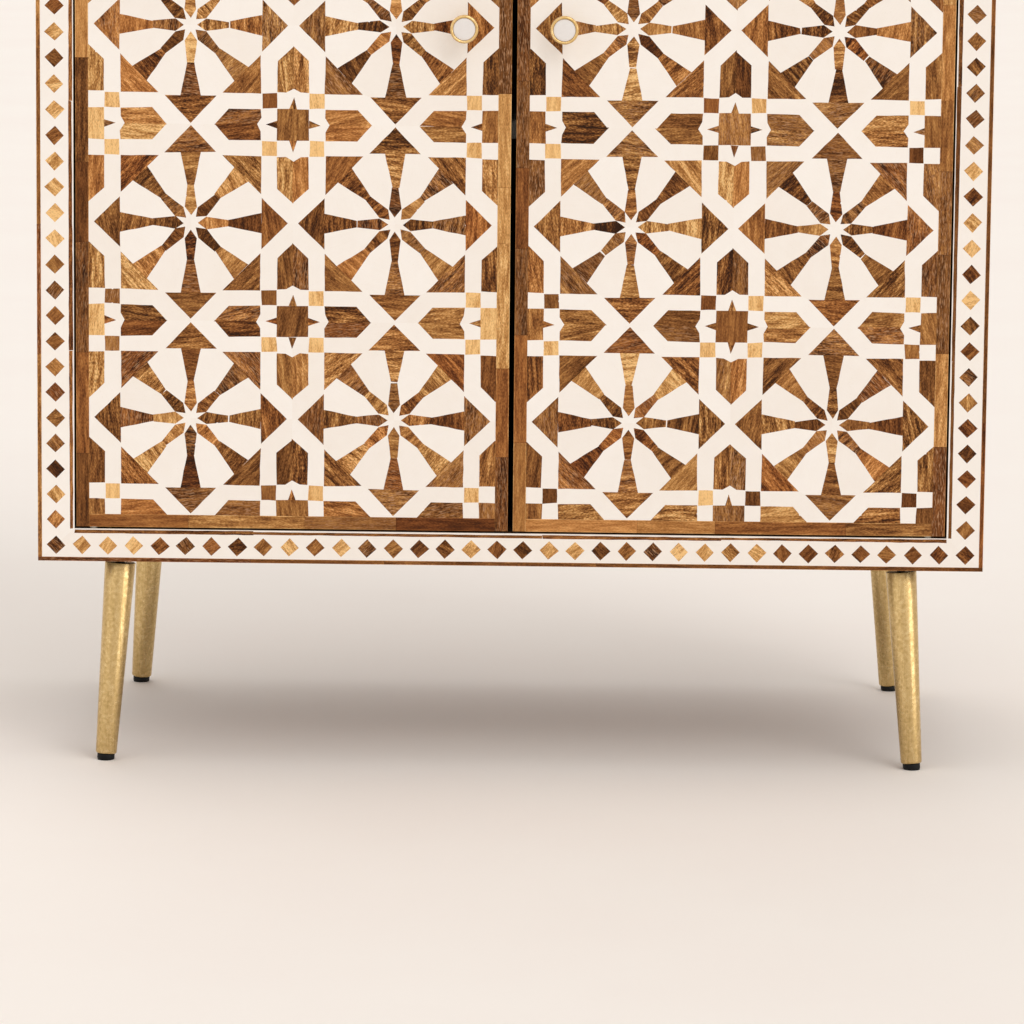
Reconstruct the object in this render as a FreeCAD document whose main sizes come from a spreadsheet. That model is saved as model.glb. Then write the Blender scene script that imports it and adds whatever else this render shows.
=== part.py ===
import FreeCAD
import Part
import Sketcher
import math
import os
import re
from FreeCAD import Placement, Rotation, Vector

# Bone inlay cabinet on four splayed brass legs, with two inset doors on concealed pivots.
# Millimetres, +Z up, the doors face -Y, and the origin is on the floor under the middle of the whole box.

# Driving sizes
SIZES = (
    ("case_width", 914, "width over the side inlay"),
    ("case_depth", 457, "front inlay to the rear edge of the boards"),
    ("body_height", 850, "underside to the top inlay"),
    ("leg_height", 200, "floor to the underside"),
    ("side_border", 35.5, "front border at the sides"),
    ("rail_border", 32, "front border at the top and bottom"),
    ("skin_thick", 2, "thickness of the inlay"),
    ("edging_width", 4, "brown edge strip"),
    ("bead_width", 2.5, "brown bead inside a border"),
    ("line_width", 2, "white line inside the front bead"),
    ("panel_band", 25, "bone band round the sides and the top"),
    ("filler_gap", 0.15, "filler round each inlaid piece"),
    ("field_rim", 0.4, "ground left outside the pieces at a field's edge"),
    ("diamond_width", 17.7, "diagonal of a border diamond"),
    ("diamond_pitch", 25, "spacing of the border diamonds"),
    ("star_columns", 2, "star columns on a door or a side"),
    ("star_rows", 4, "star rows on a door or a side"),
    ("top_columns", 4, "star columns on the top"),
    ("top_rows", 2, "star rows on the top"),
    ("back_thick", 6, "back panel"),
    ("back_lap", 8, "lap of the back panel on each board"),
    ("back_recess", 3, "back panel inside the rear edges"),
    ("back_room", 0.5, "room round the back panel"),
    ("shelf_thick", 18, "shelf"),
    ("shelf_setback", 34, "case front to the front of the shelf"),
    ("shelf_room", 1, "room at each end of the shelf and behind it"),
    ("shelf_drop", 5, "middle of the shelf below the middle of the opening"),
    ("support_length", 12, "shelf support tongue, out from the side"),
    ("support_width", 10, "shelf support tongue, along the side"),
    ("support_thick", 6, "shelf support tongue"),
    ("support_pin", 5, "diameter of a shelf support's pin"),
    ("support_depth", 10, "pin in the side board"),
    ("support_inset", 60, "shelf support from the end of the shelf's depth"),
    ("dowel_width", 8, "diameter of a carcass dowel"),
    ("dowel_length", 40, "carcass dowel"),
    ("fit_room", 0.1, "radial room round dowels, pins and screws"),
    ("door_gap", 2, "gap round the doors"),
    ("meeting_gap", 5, "gap between the doors"),
    ("core_thick", 20, "door core"),
    ("door_edging", 12.5, "wood strip round a door's face"),
    ("edging_pieces_across", 5, "pieces in a door's top or bottom strip"),
    ("edging_pieces_up", 9, "pieces in a door's upright strip"),
    ("pivot_inset", 16, "pivot axis from the door's outer edge"),
    ("pivot_setback", 7, "pivot axis behind the door's face"),
    ("leaf_length", 50, "pivot leaf"),
    ("leaf_width", 8, "pivot leaf"),
    ("leaf_thick", 4, "pivot leaf"),
    ("leaf_end", 6, "pivot axis to the near end of a leaf"),
    ("leaf_room", 0.1, "room round a leaf in its mortise"),
    ("leaf_screw_pitch", 16, "spacing of a leaf's screws from the pivot"),
    ("pin_width", 4, "diameter of a pivot pin"),
    ("pin_room", 0.05, "radial running room of a pivot pin"),
    ("pin_short", 0.5, "pin end short of the leaf's inner face"),
    ("washer_width", 7.5, "diameter of a pivot washer"),
    ("screw_width", 3, "diameter of a wood screw"),
    ("screw_length", 16, "wood screw under its head"),
    ("screw_head_width", 5.4, "diameter of a wood screw's head"),
    ("screw_head_thick", 1.8, "wood screw's head"),
    ("knob_width", 26.4, "diameter of a knob's ring"),
    ("knob_reach", 28, "knob out from the door's face"),
    ("knob_insert_width", 21, "diameter of the white insert"),
    ("knob_insert_thick", 3, "white insert"),
    ("knob_insert_sink", 0.5, "insert below the edge of the ring"),
    ("knob_stem_width", 16.4, "diameter of a knob's stem"),
    ("knob_base_width", 20, "diameter of a knob's base"),
    ("knob_base_thick", 2, "knob's base"),
    ("knob_neck", 15, "height where the stem starts to flare"),
    ("knob_flare", 5, "height of the flare"),
    ("knob_bore_depth", 14, "screw hole in a knob"),
    ("knob_inset", 45, "knob's axis from the meeting edge"),
    ("knob_screw_width", 4, "diameter of a knob's screw"),
    ("knob_screw_grip", 12, "screw inside the knob"),
    ("knob_screw_head_width", 8, "diameter of the knob screw's head"),
    ("knob_screw_head_thick", 2.5, "knob screw's head"),
    ("knob_height_share", 0.625, "height of the knobs as a share of the star field"),
    ("catch_width", 70, "magnetic catch"),
    ("catch_depth", 14, "magnetic catch"),
    ("catch_tall", 14, "magnetic catch"),
    ("catch_sink", 9, "depth of the catch's screw heads"),
    ("magnet_width", 18, "magnet"),
    ("magnet_tall", 8, "magnet"),
    ("magnet_thick", 4, "magnet"),
    ("magnet_offset", 18, "middle of a magnet from the middle of the catch"),
    ("strike_width", 26, "strike plate"),
    ("strike_tall", 30, "strike plate"),
    ("strike_thick", 1.5, "strike plate"),
    ("strike_foot", 7, "strike's screw above its lower edge"),
    ("leg_inset_side", 77, "top of a leg from the case's side"),
    ("leg_inset_end", 37.5, "top of a leg from the case's front or rear"),
    ("leg_splay", 14, "foot out from the leg's top, in X and in Y"),
    ("leg_top_width", 30, "diameter of a leg at the top"),
    ("leg_foot_width", 20.5, "diameter of a leg at the foot"),
    ("leg_wall", 2, "wall of the tube"),
    ("leg_cap", 4, "end wall at the top of a leg"),
    ("leg_round", 1.6, "rounded edge at the foot"),
    ("plate_width", 64, "leg plate, let in flush under the bottom board"),
    ("plate_thick", 4, "leg plate"),
    ("plate_screw_inset", 8, "leg plate's screws from its edges"),
    ("boss_width", 20, "diameter of the boss under a leg plate"),
    ("boss_height", 4, "boss under a leg plate"),
    ("stud_width", 8, "diameter of a leg's stud"),
    ("stud_reach", 12, "stud inside the leg"),
    ("glide_width", 17, "diameter of a glide"),
    ("glide_height", 6, "glide under the leg"),
    ("glide_stem", 12, "glide's stem inside the leg"),
    ("overrun", 3, "how far a cutting shape runs past the cut"),
)

# Places worked out from the sizes
PLACES = (
    ("front", "=sizes.knob_reach / 2 - sizes.case_depth / 2", "Y of the door faces"),
    ("rear", "=front + sizes.case_depth", "Y of the rear edges"),
    ("board_front", "=front + sizes.skin_thick", "Y of the boards' front edges"),
    ("board_depth", "=sizes.case_depth - sizes.skin_thick", "depth of the boards"),
    ("crown", "=sizes.leg_height + sizes.body_height", "Z of the top inlay"),
    ("open_half", "=sizes.case_width / 2 - sizes.side_border", "half the door opening"),
    ("open_low", "=sizes.leg_height + sizes.rail_border", "Z of the opening's foot"),
    ("open_high", "=crown - sizes.rail_border", "Z of the opening's head"),
    ("side_board", "=sizes.side_border - sizes.skin_thick", "thickness of a side board"),
    ("door_width", "=open_half - sizes.door_gap - sizes.meeting_gap / 2", "door"),
    ("door_height", "=open_high - open_low - 2 * sizes.door_gap", "door"),
    ("door_low", "=open_low + sizes.door_gap", "Z of a door's foot"),
    ("door_high", "=open_high - sizes.door_gap", "Z of a door's head"),
    ("door_rear", "=front + sizes.skin_thick + sizes.core_thick", "Y of a door's back"),
    ("door_middle", "=sizes.meeting_gap / 2 + door_width / 2", "X of a door's middle"),
    ("pivot_x", "=open_half - sizes.door_gap - sizes.pivot_inset", "X of a pivot axis"),
    ("pivot_y", "=front + sizes.pivot_setback", "Y of a pivot axis"),
    ("field_height", "=door_height - 2 * sizes.door_edging", "a door's star field"),
    ("knob_x", "=sizes.meeting_gap / 2 + sizes.knob_inset", "X of a knob"),
    ("knob_z", "=door_low + sizes.door_edging + field_height * sizes.knob_height_share", "Z of a knob"),
    ("shelf_low", "=(open_low + open_high - sizes.shelf_thick) / 2 - sizes.shelf_drop", "Z of the shelf"),
    ("shelf_front", "=front + sizes.shelf_setback", "Y of the shelf's front"),
    ("back_front", "=rear - sizes.back_recess - sizes.back_thick", "Y of the back panel's face"),
    ("shelf_depth", "=back_front - sizes.shelf_room - shelf_front", "shelf"),
    ("catch_front", "=door_rear + sizes.strike_thick", "Y of the catch's face"),
    ("case_leg_x", "=sizes.case_width / 2 - sizes.leg_inset_side", "X of a leg's top"),
    ("case_leg_y", "=sizes.case_depth / 2 - sizes.leg_inset_end", "Y of a leg's top from the case's middle"),
    ("case_middle_y", "=(front + rear) / 2", "Y of the case's middle"),
)

# Star cell outlines as shares of the shorter cell pitch
SPOKE_SHARES = {"tip": 0.0356, "wide": 0.0788, "wide_half": 0.0308, "waist": 0.191, "waist_half": 0.0168,
                "end_half": 0.0508}
ARROW_SHARES = {"base": 0.3582, "half": 0.1305, "tip": 0.4915}
SQUARE_SHARES = {"half": 0.0806, "spike_half": 0.0203, "spike": 0.0584, "corner_near": 0.0822,
                 "corner_far": 0.1575}
HOUSE_SHARES = {"half": 0.0793, "foot": 0.1626, "notch": 0.0224, "notch_half": 0.0366, "eaves": 0.3244,
                "ridge": 0.399}
TRIANGLE_SHARES = {"corner_x": 0.1626, "corner_y": 0.1575, "leg": 0.1921}
# Dowels along the depth of a board, and screws along an edge of the back panel
DOWEL_SHARES = (0.15, 0.38, 0.61, 0.84)
BACK_SCREW_SHARES = (0.1, 0.5, 0.9)

SIDES = (("left", -1), ("right", 1))
ENDS = (("front", -1), ("rear", 1))
TURNS = {
    "up": Rotation(),
    "down": Rotation(Vector(1, 0, 0), 180),
    "front": Rotation(Vector(1, 0, 0), 90),
    "rear": Rotation(Vector(1, 0, 0), -90),
    "right": Rotation(Vector(0, 1, 0), 90),
    "left": Rotation(Vector(0, 1, 0), -90),
}
# An inlaid face lies in its own XY plane and is turned to its wall
FACES = {
    "front": Rotation(Vector(1, 0, 0), 90),
    "right": Rotation(Vector(1, 1, 1), 120),
    "left": Rotation(Vector(0, 0, 1), 180) * Rotation(Vector(1, 1, 1), 120),
    "top": Rotation(),
}

doc = FreeCAD.newDocument("bone_inlay_cabinet")
parts = {}


def make_sheet(name, rows):
    """A sheet with one named value in each row."""
    sheet = doc.addObject("Spreadsheet::Sheet", name)
    for number, (alias, content, meaning) in enumerate(rows, start=1):
        sheet.set(f"A{number}", meaning)
        sheet.set(f"B{number}", str(content))
        sheet.setAlias(f"B{number}", alias)
    doc.recompute()
    return sheet


sizes = make_sheet("sizes", SIZES)
places = make_sheet("places", PLACES)
OWNERS = {row[0]: "sizes" for row in SIZES} | {row[0]: "places" for row in PLACES}


def full(text):
    """The expression with each named value under its sheet."""
    return re.sub(r"[a-z_]+", lambda m: f"{OWNERS[m[0]]}.{m[0]}" if m[0] in OWNERS else m[0], str(text))


def value(text):
    """What an expression of named values comes to."""
    return float(sizes.evalExpression(full(text)))


def spot(place):
    """The point of three expressions."""
    return Vector(*(value(text) for text in place))


def keep(label, shape_object):
    """Lists an object as a finished piece."""
    shape_object.Label = label
    parts[label] = shape_object
    return shape_object


def put(shape_object, place, turn="up"):
    """Turns an object and binds its place to the sheets."""
    shape_object.Placement = Placement(spot(place), TURNS[turn])
    for axis, text in zip("xyz", place):
        shape_object.setExpression(f"Placement.Base.{axis}", full(text))
    return shape_object


def box(name, low, size):
    """A block from its low corner."""
    block = doc.addObject("Part::Box", name)
    for side, text in zip(("Length", "Width", "Height"), size):
        block.setExpression(side, full(text))
    return put(block, low)


def rod(name, width, length, place, turn="up"):
    """A cylinder that starts at a place and runs along a turn."""
    cylinder = doc.addObject("Part::Cylinder", name)
    cylinder.setExpression("Radius", full(f"({width}) / 2"))
    cylinder.setExpression("Height", full(length))
    return put(cylinder, place, turn)


def group(name, members):
    """Several objects as one."""
    compound = doc.addObject("Part::Compound", name)
    compound.Links = members
    return compound


def cut(name, base, tools):
    """A block less its bores and mortises."""
    result = doc.addObject("Part::Cut", name)
    result.Base = base
    result.Tool = group(f"{name}_cuts", tools)
    return result


def fuse(name, members):
    """Several touching blocks as one solid."""
    result = doc.addObject("Part::MultiFuse", name)
    result.Shapes = members
    result.Refine = True
    return result


def outline(owner, plane, points):
    """A closed outline in a body, with each corner at bound distances from the origin."""
    sketch = owner.newObject("Sketcher::SketchObject", f"{owner.Name}_outline")
    origin = next(item for item in owner.Origin.OriginFeatures if item.Role == plane)
    sketch.AttachmentSupport = [(origin, "")]
    sketch.MapMode = "FlatFace"
    corners = [Vector(value(x), value(y), 0) for x, y in points]
    last = len(corners)
    for number, corner in enumerate(corners):
        sketch.addGeometry(Part.LineSegment(corner, corners[(number + 1) % last]), False)
    for number in range(last):
        sketch.addConstraint(Sketcher.Constraint("Coincident", number, 2, (number + 1) % last, 1))
    for number, point in enumerate(points):
        for kind, axis, text in (("DistanceX", -2, point[0]), ("DistanceY", -1, point[1])):
            distance = value(text)
            if distance == 0:
                sketch.addConstraint(Sketcher.Constraint("PointOnObject", number, 1, axis))
            else:
                row = sketch.addConstraint(Sketcher.Constraint(kind, -1, 1, number, 1, distance))
                sketch.setExpression(f"Constraints[{row}]", full(text))
    return sketch


def turned(name, points, place=None, turn="up"):
    """A body turned about its own Z axis from an outline of radii and heights."""
    body = doc.addObject("PartDesign::Body", name)
    sketch = outline(body, "XZ_Plane", points)
    revolution = body.newObject("PartDesign::Revolution", f"{name}_turning")
    revolution.Profile = sketch
    revolution.ReferenceAxis = (sketch, ["V_Axis"])
    revolution.Angle = 360
    if place:
        put(body, place, turn)
    return body


def padded(name, points, thickness, place, turn="up"):
    """A body raised from an outline."""
    body = doc.addObject("PartDesign::Body", name)
    pad = body.newObject("PartDesign::Pad", f"{name}_pad")
    pad.Profile = outline(body, "XY_Plane", points)
    pad.setExpression("Length", full(thickness))
    put(body, place, turn)
    return body


def rectangle(width, height):
    """The corners of a rectangle from its low corner."""
    return ((0, 0), (width, 0), (width, height), (0, height))


# Wood screws: one turned shape, copied to each seat, and a bore for each

screw = turned("wood_screw", (
    (0, 0), ("screw_width / 2", 0), ("screw_width / 2", "screw_length"),
    ("screw_head_width / 2", "screw_length"),
    ("screw_head_width / 2", "screw_length + screw_head_thick"), (0, "screw_length + screw_head_thick"),
))
doc.recompute()


def screws(label, seats):
    """A group of wood screws, each with the underside of its head on a seat."""
    copies = []
    for place, turn in seats:
        copy = screw.Shape.copy()
        tip = spot(place) - TURNS[turn].multVec(Vector(0, 0, value("screw_length")))
        copy.Placement = Placement(tip, TURNS[turn])
        copies.append(copy)
    feature = doc.addObject("Part::Feature", label)
    feature.Shape = Part.makeCompound(copies)
    return keep(label, feature)


def seat_bores(name, seats):
    """A bore for each screw, from past its tip to past its seat."""
    inward = {"up": (0, 0, -1), "down": (0, 0, 1), "front": (0, 1, 0), "rear": (0, -1, 0)}
    bores = []
    for number, (place, turn) in enumerate(seats):
        start = [f"{text} + ({step}) * (screw_length + fit_room)" for text, step in zip(place, inward[turn])]
        length = "screw_length + fit_room + overrun"
        bores.append(rod(f"{name}_{number}", "screw_width + 2 * fit_room", length, start, turn))
    return bores


def head_bores(name, seats, sink):
    """A counterbore for each screw head, from its seat to past the surface."""
    width = "screw_head_width + 2 * fit_room"
    return [rod(f"{name}_{number}", width, f"{sink} + overrun", place, turn)
            for number, (place, turn) in enumerate(seats)]


# Carcass

def back_seats():
    """Where the back panel's screws sit, for each board."""
    rear_face = "rear - back_recess"
    seats = {"left": [], "right": [], "bottom": [], "top": []}
    for name, side in SIDES:
        x = f"({side}) * (open_half + back_lap / 2)"
        seats[name] = [((x, rear_face, f"open_low + ({share}) * (open_high - open_low)"), "rear")
                       for share in BACK_SCREW_SHARES]
    for name, z in (("bottom", "open_low - back_lap / 2"), ("top", "open_high + back_lap / 2")):
        seats[name] = [((f"(2 * ({share}) - 1) * open_half", rear_face, z), "rear")
                       for share in BACK_SCREW_SHARES]
    return seats


def dowel_places():
    """The inner end and the board of each dowel, by side and level."""
    found = []
    for name, side in SIDES:
        for level, z in (("bottom", "leg_height + rail_border / 2"), ("top", "crown - rail_border / 2")):
            for number, share in enumerate(DOWEL_SHARES):
                y = f"board_front + ({share}) * board_depth"
                found.append((f"{name}_{level}_{number}", name, level, side, y, z))
    return found


def dowel_rods(prefix, room, wanted):
    """Dowels, or their bores with some room, for the boards asked for."""
    rods = []
    for tag, name, level, side, y, z in dowel_places():
        if name in wanted or level in wanted:
            start = f"({side}) * open_half - (dowel_length / 2 + {room})"
            length = f"dowel_length + 2 * ({room})"
            rods.append(rod(f"{prefix}_{tag}", f"dowel_width + 2 * ({room})", length, (start, y, z), "right"))
    return rods


CASE_LEAVES = {"bottom": ("open_low - screw_head_thick", "up"),
               "top": ("open_high + screw_head_thick", "down")}
DOOR_LEAVES = {"bottom": ("door_low + screw_head_thick", "down"),
               "top": ("door_high - screw_head_thick", "up")}


def leaf_seats(side, heads):
    """Screw seats of a pivot leaf, from the level and the turn of their heads."""
    z, turn = heads
    return [((f"({side}) * (pivot_x - ({step}) * leaf_screw_pitch)", "pivot_y", z), turn) for step in (1, 2)]


def leaf_box(name, side, low, room="0"):
    """The block of a pivot leaf or, with room, of its mortise."""
    near = f"({side}) * pivot_x - ({side}) * (leaf_length / 2 - leaf_end) - leaf_length / 2 - ({room})"
    size = (f"leaf_length + 2 * ({room})", f"leaf_width + 2 * ({room})", "leaf_thick")
    return box(name, (near, f"pivot_y - leaf_width / 2 - ({room})", low), size)


CATCH_SEATS = [((f"({side}) * (catch_width / 2 - screw_head_width)", "catch_front + catch_depth / 2",
                 "open_high - catch_tall + catch_sink"), "down") for _, side in SIDES]


def plate_seats(side, end):
    """Screw seats of one leg plate."""
    reach = "plate_width / 2 - plate_screw_inset"
    x, y = f"({side}) * case_leg_x", f"case_middle_y + ({end}) * case_leg_y"
    return [((f"{x} + ({a}) * ({reach})", f"{y} + ({b}) * ({reach})", "leg_height"), "down")
            for a in (-1, 1) for b in (-1, 1)]


def plate_box(name, side, end, low, thick, room="0"):
    """The block of a leg plate or, with room, of its pocket."""
    half = f"(plate_width / 2 + {room})"
    corner = f"({side}) * case_leg_x - {half}", f"case_middle_y + ({end}) * case_leg_y - {half}", low
    return box(name, corner, (f"2 * {half}", f"2 * {half}", thick))


def make_carcass():
    """The four boards, their dowels, the back and the shelf."""
    rear_seats = back_seats()
    rebate = "back_thick + back_recess"
    for name, side in SIDES:
        corner = f"({side}) * (open_half + side_board / 2) - side_board / 2", "board_front", "leg_height"
        board = box(f"{name}_board", corner, ("side_board", "board_depth", "body_height - skin_thick"))
        step = box(f"{name}_rebate", (f"({side}) * (open_half + back_lap / 2) - back_lap / 2",
                                      "back_front", "open_low - back_lap"),
                   ("back_lap", f"{rebate} + overrun", "open_high - open_low + 2 * back_lap"))
        tools = [step] + dowel_rods(f"{name}_bore", "fit_room", (name,))
        tools += seat_bores(f"{name}_back_bore", rear_seats[name])
        for end, y in support_rows():
            start = f"({side}) * open_half - ({side}) * overrun"
            tools.append(rod(f"{name}_{end}_pin_bore", "support_pin + 2 * fit_room",
                             "support_depth + overrun + fit_room",
                             (start, y, "shelf_low - support_thick / 2"), name))
        keep(f"{name}_side_board", cut(f"{name}_side_board", board, tools))
    for name, low, thick, step_low, leaf_low in (
            ("bottom", "leg_height", "rail_border", "open_low - back_lap", "open_low - leaf_thick"),
            ("top", "open_high", "rail_border - skin_thick", "open_high", "open_high")):
        board = box(f"{name}_slab", ("-open_half", "board_front", low),
                    ("2 * open_half", "board_depth", thick))
        step =box(f"{name}_rebate", ("-open_half", "back_front", step_low),
                   ("2 * open_half", f"{rebate} + overrun", "back_lap"))
        tools = [step] + dowel_rods(f"{name}_bore", "fit_room", (name,))
        tools += seat_bores(f"{name}_back_bore", rear_seats[name])
        for side_name, side in SIDES:
            tools.append(leaf_box(f"{name}_{side_name}_mortise", side, leaf_low, "leaf_room"))
            tools += seat_bores(f"{name}_{side_name}_leaf_bore", leaf_seats(side, CASE_LEAVES[name]))
        if name == "top":
            tools += seat_bores("catch_bore", CATCH_SEATS)
        else:
            for side_name, side in SIDES:
                for end_name, end in ENDS:
                    tag = f"{side_name}_{end_name}"
                    tools += seat_bores(f"plate_bore_{tag}", plate_seats(side, end))
                    tools.append(plate_box(f"plate_pocket_{tag}", side, end, "leg_height - overrun",
                                           "plate_thick + overrun", "fit_room"))
        keep(f"{name}_board", cut(f"{name}_board", board, tools))
    keep("carcass_dowels", group("carcass_dowels", dowel_rods("dowel", "0", ("bottom", "top"))))
    wide = "open_half + back_lap - back_room"
    panel = box("back_sheet", (f"-({wide})", "back_front", "open_low - back_lap + back_room"),
                (f"2 * ({wide})", "back_thick", "open_high - open_low + 2 * (back_lap - back_room)"))
    all_seats = [seat for seats in rear_seats.values() for seat in seats]
    keep("back_panel", cut("back_panel", panel, seat_bores("panel_bore", all_seats)))
    screws("back_panel_screws", all_seats)
    keep("shelf", padded("shelf", rectangle("2 * (open_half - shelf_room)", "shelf_depth"), "shelf_thick",
                         ("shelf_room - open_half", "shelf_front", "shelf_low")))


def support_rows():
    """The shelf supports along the depth."""
    return (("front", "shelf_front + support_inset"), ("rear", "shelf_front + shelf_depth - support_inset"))


def make_shelf_supports():
    """Four supports, each a tongue under the shelf and a pin in the side board."""
    supports = []
    for name, side in SIDES:
        for end, y in support_rows():
            tongue = box(f"{name}_{end}_tongue",
                         (f"({side}) * (open_half - support_length / 2) - support_length / 2",
                          f"{y} - support_width / 2", "shelf_low - support_thick"),
                         ("support_length", "support_width", "support_thick"))
            start = f"({side}) * (open_half - support_length / 2)"
            pin = rod(f"{name}_{end}_pin", "support_pin", "support_depth + support_length / 2",
                      (start, y, "shelf_low - support_thick / 2"), name)
            supports.append(fuse(f"{name}_{end}_support", [tongue, pin]))
    keep("shelf_supports", group("shelf_supports", supports))


# Pivots, catch and strikes

def make_case_pivots():
    """Leaves with pins, let into the bottom and top boards."""
    seats = []
    for name, side in SIDES:
        leaves = []
        for level in ("bottom", "top"):
            low = "open_low - leaf_thick" if level == "bottom" else "open_high"
            pin_low = "open_low - leaf_thick" if level == "bottom" else "door_high - leaf_thick + pin_short"
            leaf = leaf_box(f"{name}_{level}_case_leaf", side, low)
            pin = rod(f"{name}_{level}_pivot", "pin_width", "2 * leaf_thick + door_gap - pin_short",
                      (f"({side}) * pivot_x", "pivot_y", pin_low))
            here = leaf_seats(side, CASE_LEAVES[level])
            seats += here
            whole = fuse(f"{name}_{level}_pinned_leaf", [leaf, pin])
            tools = seat_bores(f"{name}_{level}_case_leaf_bore", here)
            tools += head_bores(f"{name}_{level}_case_leaf_head", here, "screw_head_thick")
            leaves.append(cut(f"{name}_{level}_case_pivot", whole, tools))
        keep(f"{name}_case_pivots", group(f"{name}_case_pivots", leaves))
    screws("case_pivot_screws", seats)


def make_catch():
    """A double magnetic catch under the top board."""
    block = box("catch_block", ("-catch_width / 2", "catch_front", "open_high - catch_tall"),
                ("catch_width", "catch_depth", "catch_tall"))
    tools = seat_bores("catch_way", CATCH_SEATS) + head_bores("catch_head", CATCH_SEATS, "catch_sink")
    magnets = []
    low_z = "open_high - (catch_tall + magnet_tall) / 2"
    for name, side in SIDES:
        low_x = f"({side}) * magnet_offset - magnet_width / 2"
        tools.append(box(f"{name}_magnet_seat", (low_x, "catch_front - overrun", low_z),
                         ("magnet_width", "magnet_thick + overrun", "magnet_tall")))
        magnets.append(box(f"{name}_magnet", (low_x, "catch_front", low_z),
                           ("magnet_width", "magnet_thick", "magnet_tall")))
    keep("catch_body", cut("catch_body", block, tools))
    keep("catch_magnets", group("catch_magnets", magnets))
    screws("catch_screws", CATCH_SEATS)


# Legs

def lean(side, end):
    """Where a leg meets the floor and how it leans."""
    splay = value("leg_splay")
    foot = Vector(side * value("case_leg_x + leg_splay"),
                  value("case_middle_y") + end * value("case_leg_y + leg_splay"), 0)
    upward = Vector(-side * splay, -end * splay, value("leg_height"))
    return Placement(foot, Rotation(Vector(0, 0, 1), upward))


LEG_LEAN = "sqrt(leg_height * leg_height + 2 * leg_splay * leg_splay) / leg_height"
LEG_END = f"((leg_height - boss_height) * ({LEG_LEAN}))"


def make_leg(side_name, side, end_name, end):
    """One tapered tube, its angled plate and its glide."""
    tag = f"{end_name}_{side_name}"
    stand = lean(side, end)
    tube = turned(f"{tag}_leg", (
        ("leg_foot_width / 2 - leg_wall", "glide_height"), ("leg_foot_width / 2 - leg_round", "glide_height"),
        ("leg_foot_width / 2 - leg_round / 4", "glide_height + leg_round / 2"),
        ("leg_foot_width / 2", "glide_height + 3 / 2 * leg_round"),
        ("leg_top_width / 2", LEG_END), ("stud_width / 2 + fit_room", LEG_END),
        ("stud_width / 2 + fit_room", f"{LEG_END} - leg_cap"),
        ("leg_top_width / 2 - leg_wall", f"{LEG_END} - leg_cap"),
    ))
    tube.Placement = stand
    keep(f"{tag}_leg", tube)

    slab = plate_box(f"{tag}_slab", side, end, "leg_height", "plate_thick")
    boss = doc.addObject("Part::Cylinder", f"{tag}_boss")
    boss.setExpression("Radius", full("boss_width / 2"))
    boss.setExpression("Height", full(f"(leg_height + plate_thick / 2) * ({LEG_LEAN}) - {LEG_END}"))
    boss.Placement = stand * Placement(Vector(0, 0, value(LEG_END)), Rotation())
    stud = doc.addObject("Part::Cylinder", f"{tag}_stud")
    stud.setExpression("Radius", full("stud_width / 2"))
    stud.setExpression("Height", full("stud_reach + boss_height"))
    stud.Placement = stand * Placement(Vector(0, 0, value(f"{LEG_END} - stud_reach")), Rotation())
    seats = plate_seats(side, end)
    whole = fuse(f"{tag}_welded_plate", [slab, boss, stud])
    keep(f"{tag}_leg_plate", cut(f"{tag}_leg_plate", whole, seat_bores(f"{tag}_plate_way", seats)))

    inner = "leg_foot_width / 2 - leg_wall - fit_room"
    cap = turned(f"{tag}_glide_blank", (
        (0, 0), ("glide_width / 2", 0), ("glide_width / 2", "glide_height + overrun"),
        (inner, "glide_height + overrun"), (inner, "glide_height + overrun + glide_stem"),
        (0, "glide_height + overrun + glide_stem"),
    ))
    cap.Placement = stand * Placement(Vector(0, 0, -value("overrun")), Rotation())
    half = "(glide_width + leg_splay)"
    corner = (f"({side}) * (case_leg_x + leg_splay) - {half}",
              f"case_middle_y + ({end}) * (case_leg_y + leg_splay) - {half}", "-2 * glide_width")
    floor = box(f"{tag}_floor", corner, (f"2 * {half}", f"2 * {half}", "2 * glide_width"))
    keep(f"{tag}_glide", cut(f"{tag}_glide", cap, [floor]))
    return seats


# Inlay outlines, counter-clockwise, in the plane of the face

def signed_area(points):
    """Twice the area, positive when counter-clockwise."""
    return sum(a[0] * b[1] - b[0] * a[1] for a, b in zip(points, points[1:] + points[:1]))


def ordered(points):
    """The outline counter-clockwise."""
    return list(points) if signed_area(points) > 0 else list(points)[::-1]


def clipped(points, half_width, half_height):
    """The outline inside a rectangle about the origin."""
    limits = ((0, half_width, 1), (0, half_width, -1), (1, half_height, 1), (1, half_height, -1))
    for axis, limit, sign in limits:
        result = []
        for a, b in zip(points, points[1:] + points[:1]):
            inside_a, inside_b = sign * a[axis] <= limit, sign * b[axis] <= limit
            if inside_a != inside_b:
                t = (sign * limit - a[axis]) / (b[axis] - a[axis])
                crossing = (a[0] + t * (b[0] - a[0]), a[1] + t * (b[1] - a[1]))
            if inside_a:
                result.append(a)
            if inside_a != inside_b:
                result.append(crossing)
        points = result
        if len(points) < 3:
            return []
    return tidied(points)


def tidied(points):
    """The outline without repeated corners or corners in a straight run."""
    near = value("filler_gap") / 100
    kept = [p for p, q in zip(points, points[-1:] + points[:-1]) if math.dist(p, q) > near]
    result = []
    for before, here, after in zip(kept[-1:] + kept[:-1], kept, kept[1:] + kept[:1]):
        off = (here[0] - before[0]) * (after[1] - here[1]) - (here[1] - before[1]) * (after[0] - here[0])
        if abs(off) > near * math.dist(before, after):
            result.append(here)
    return result if len(result) > 2 else []


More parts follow.
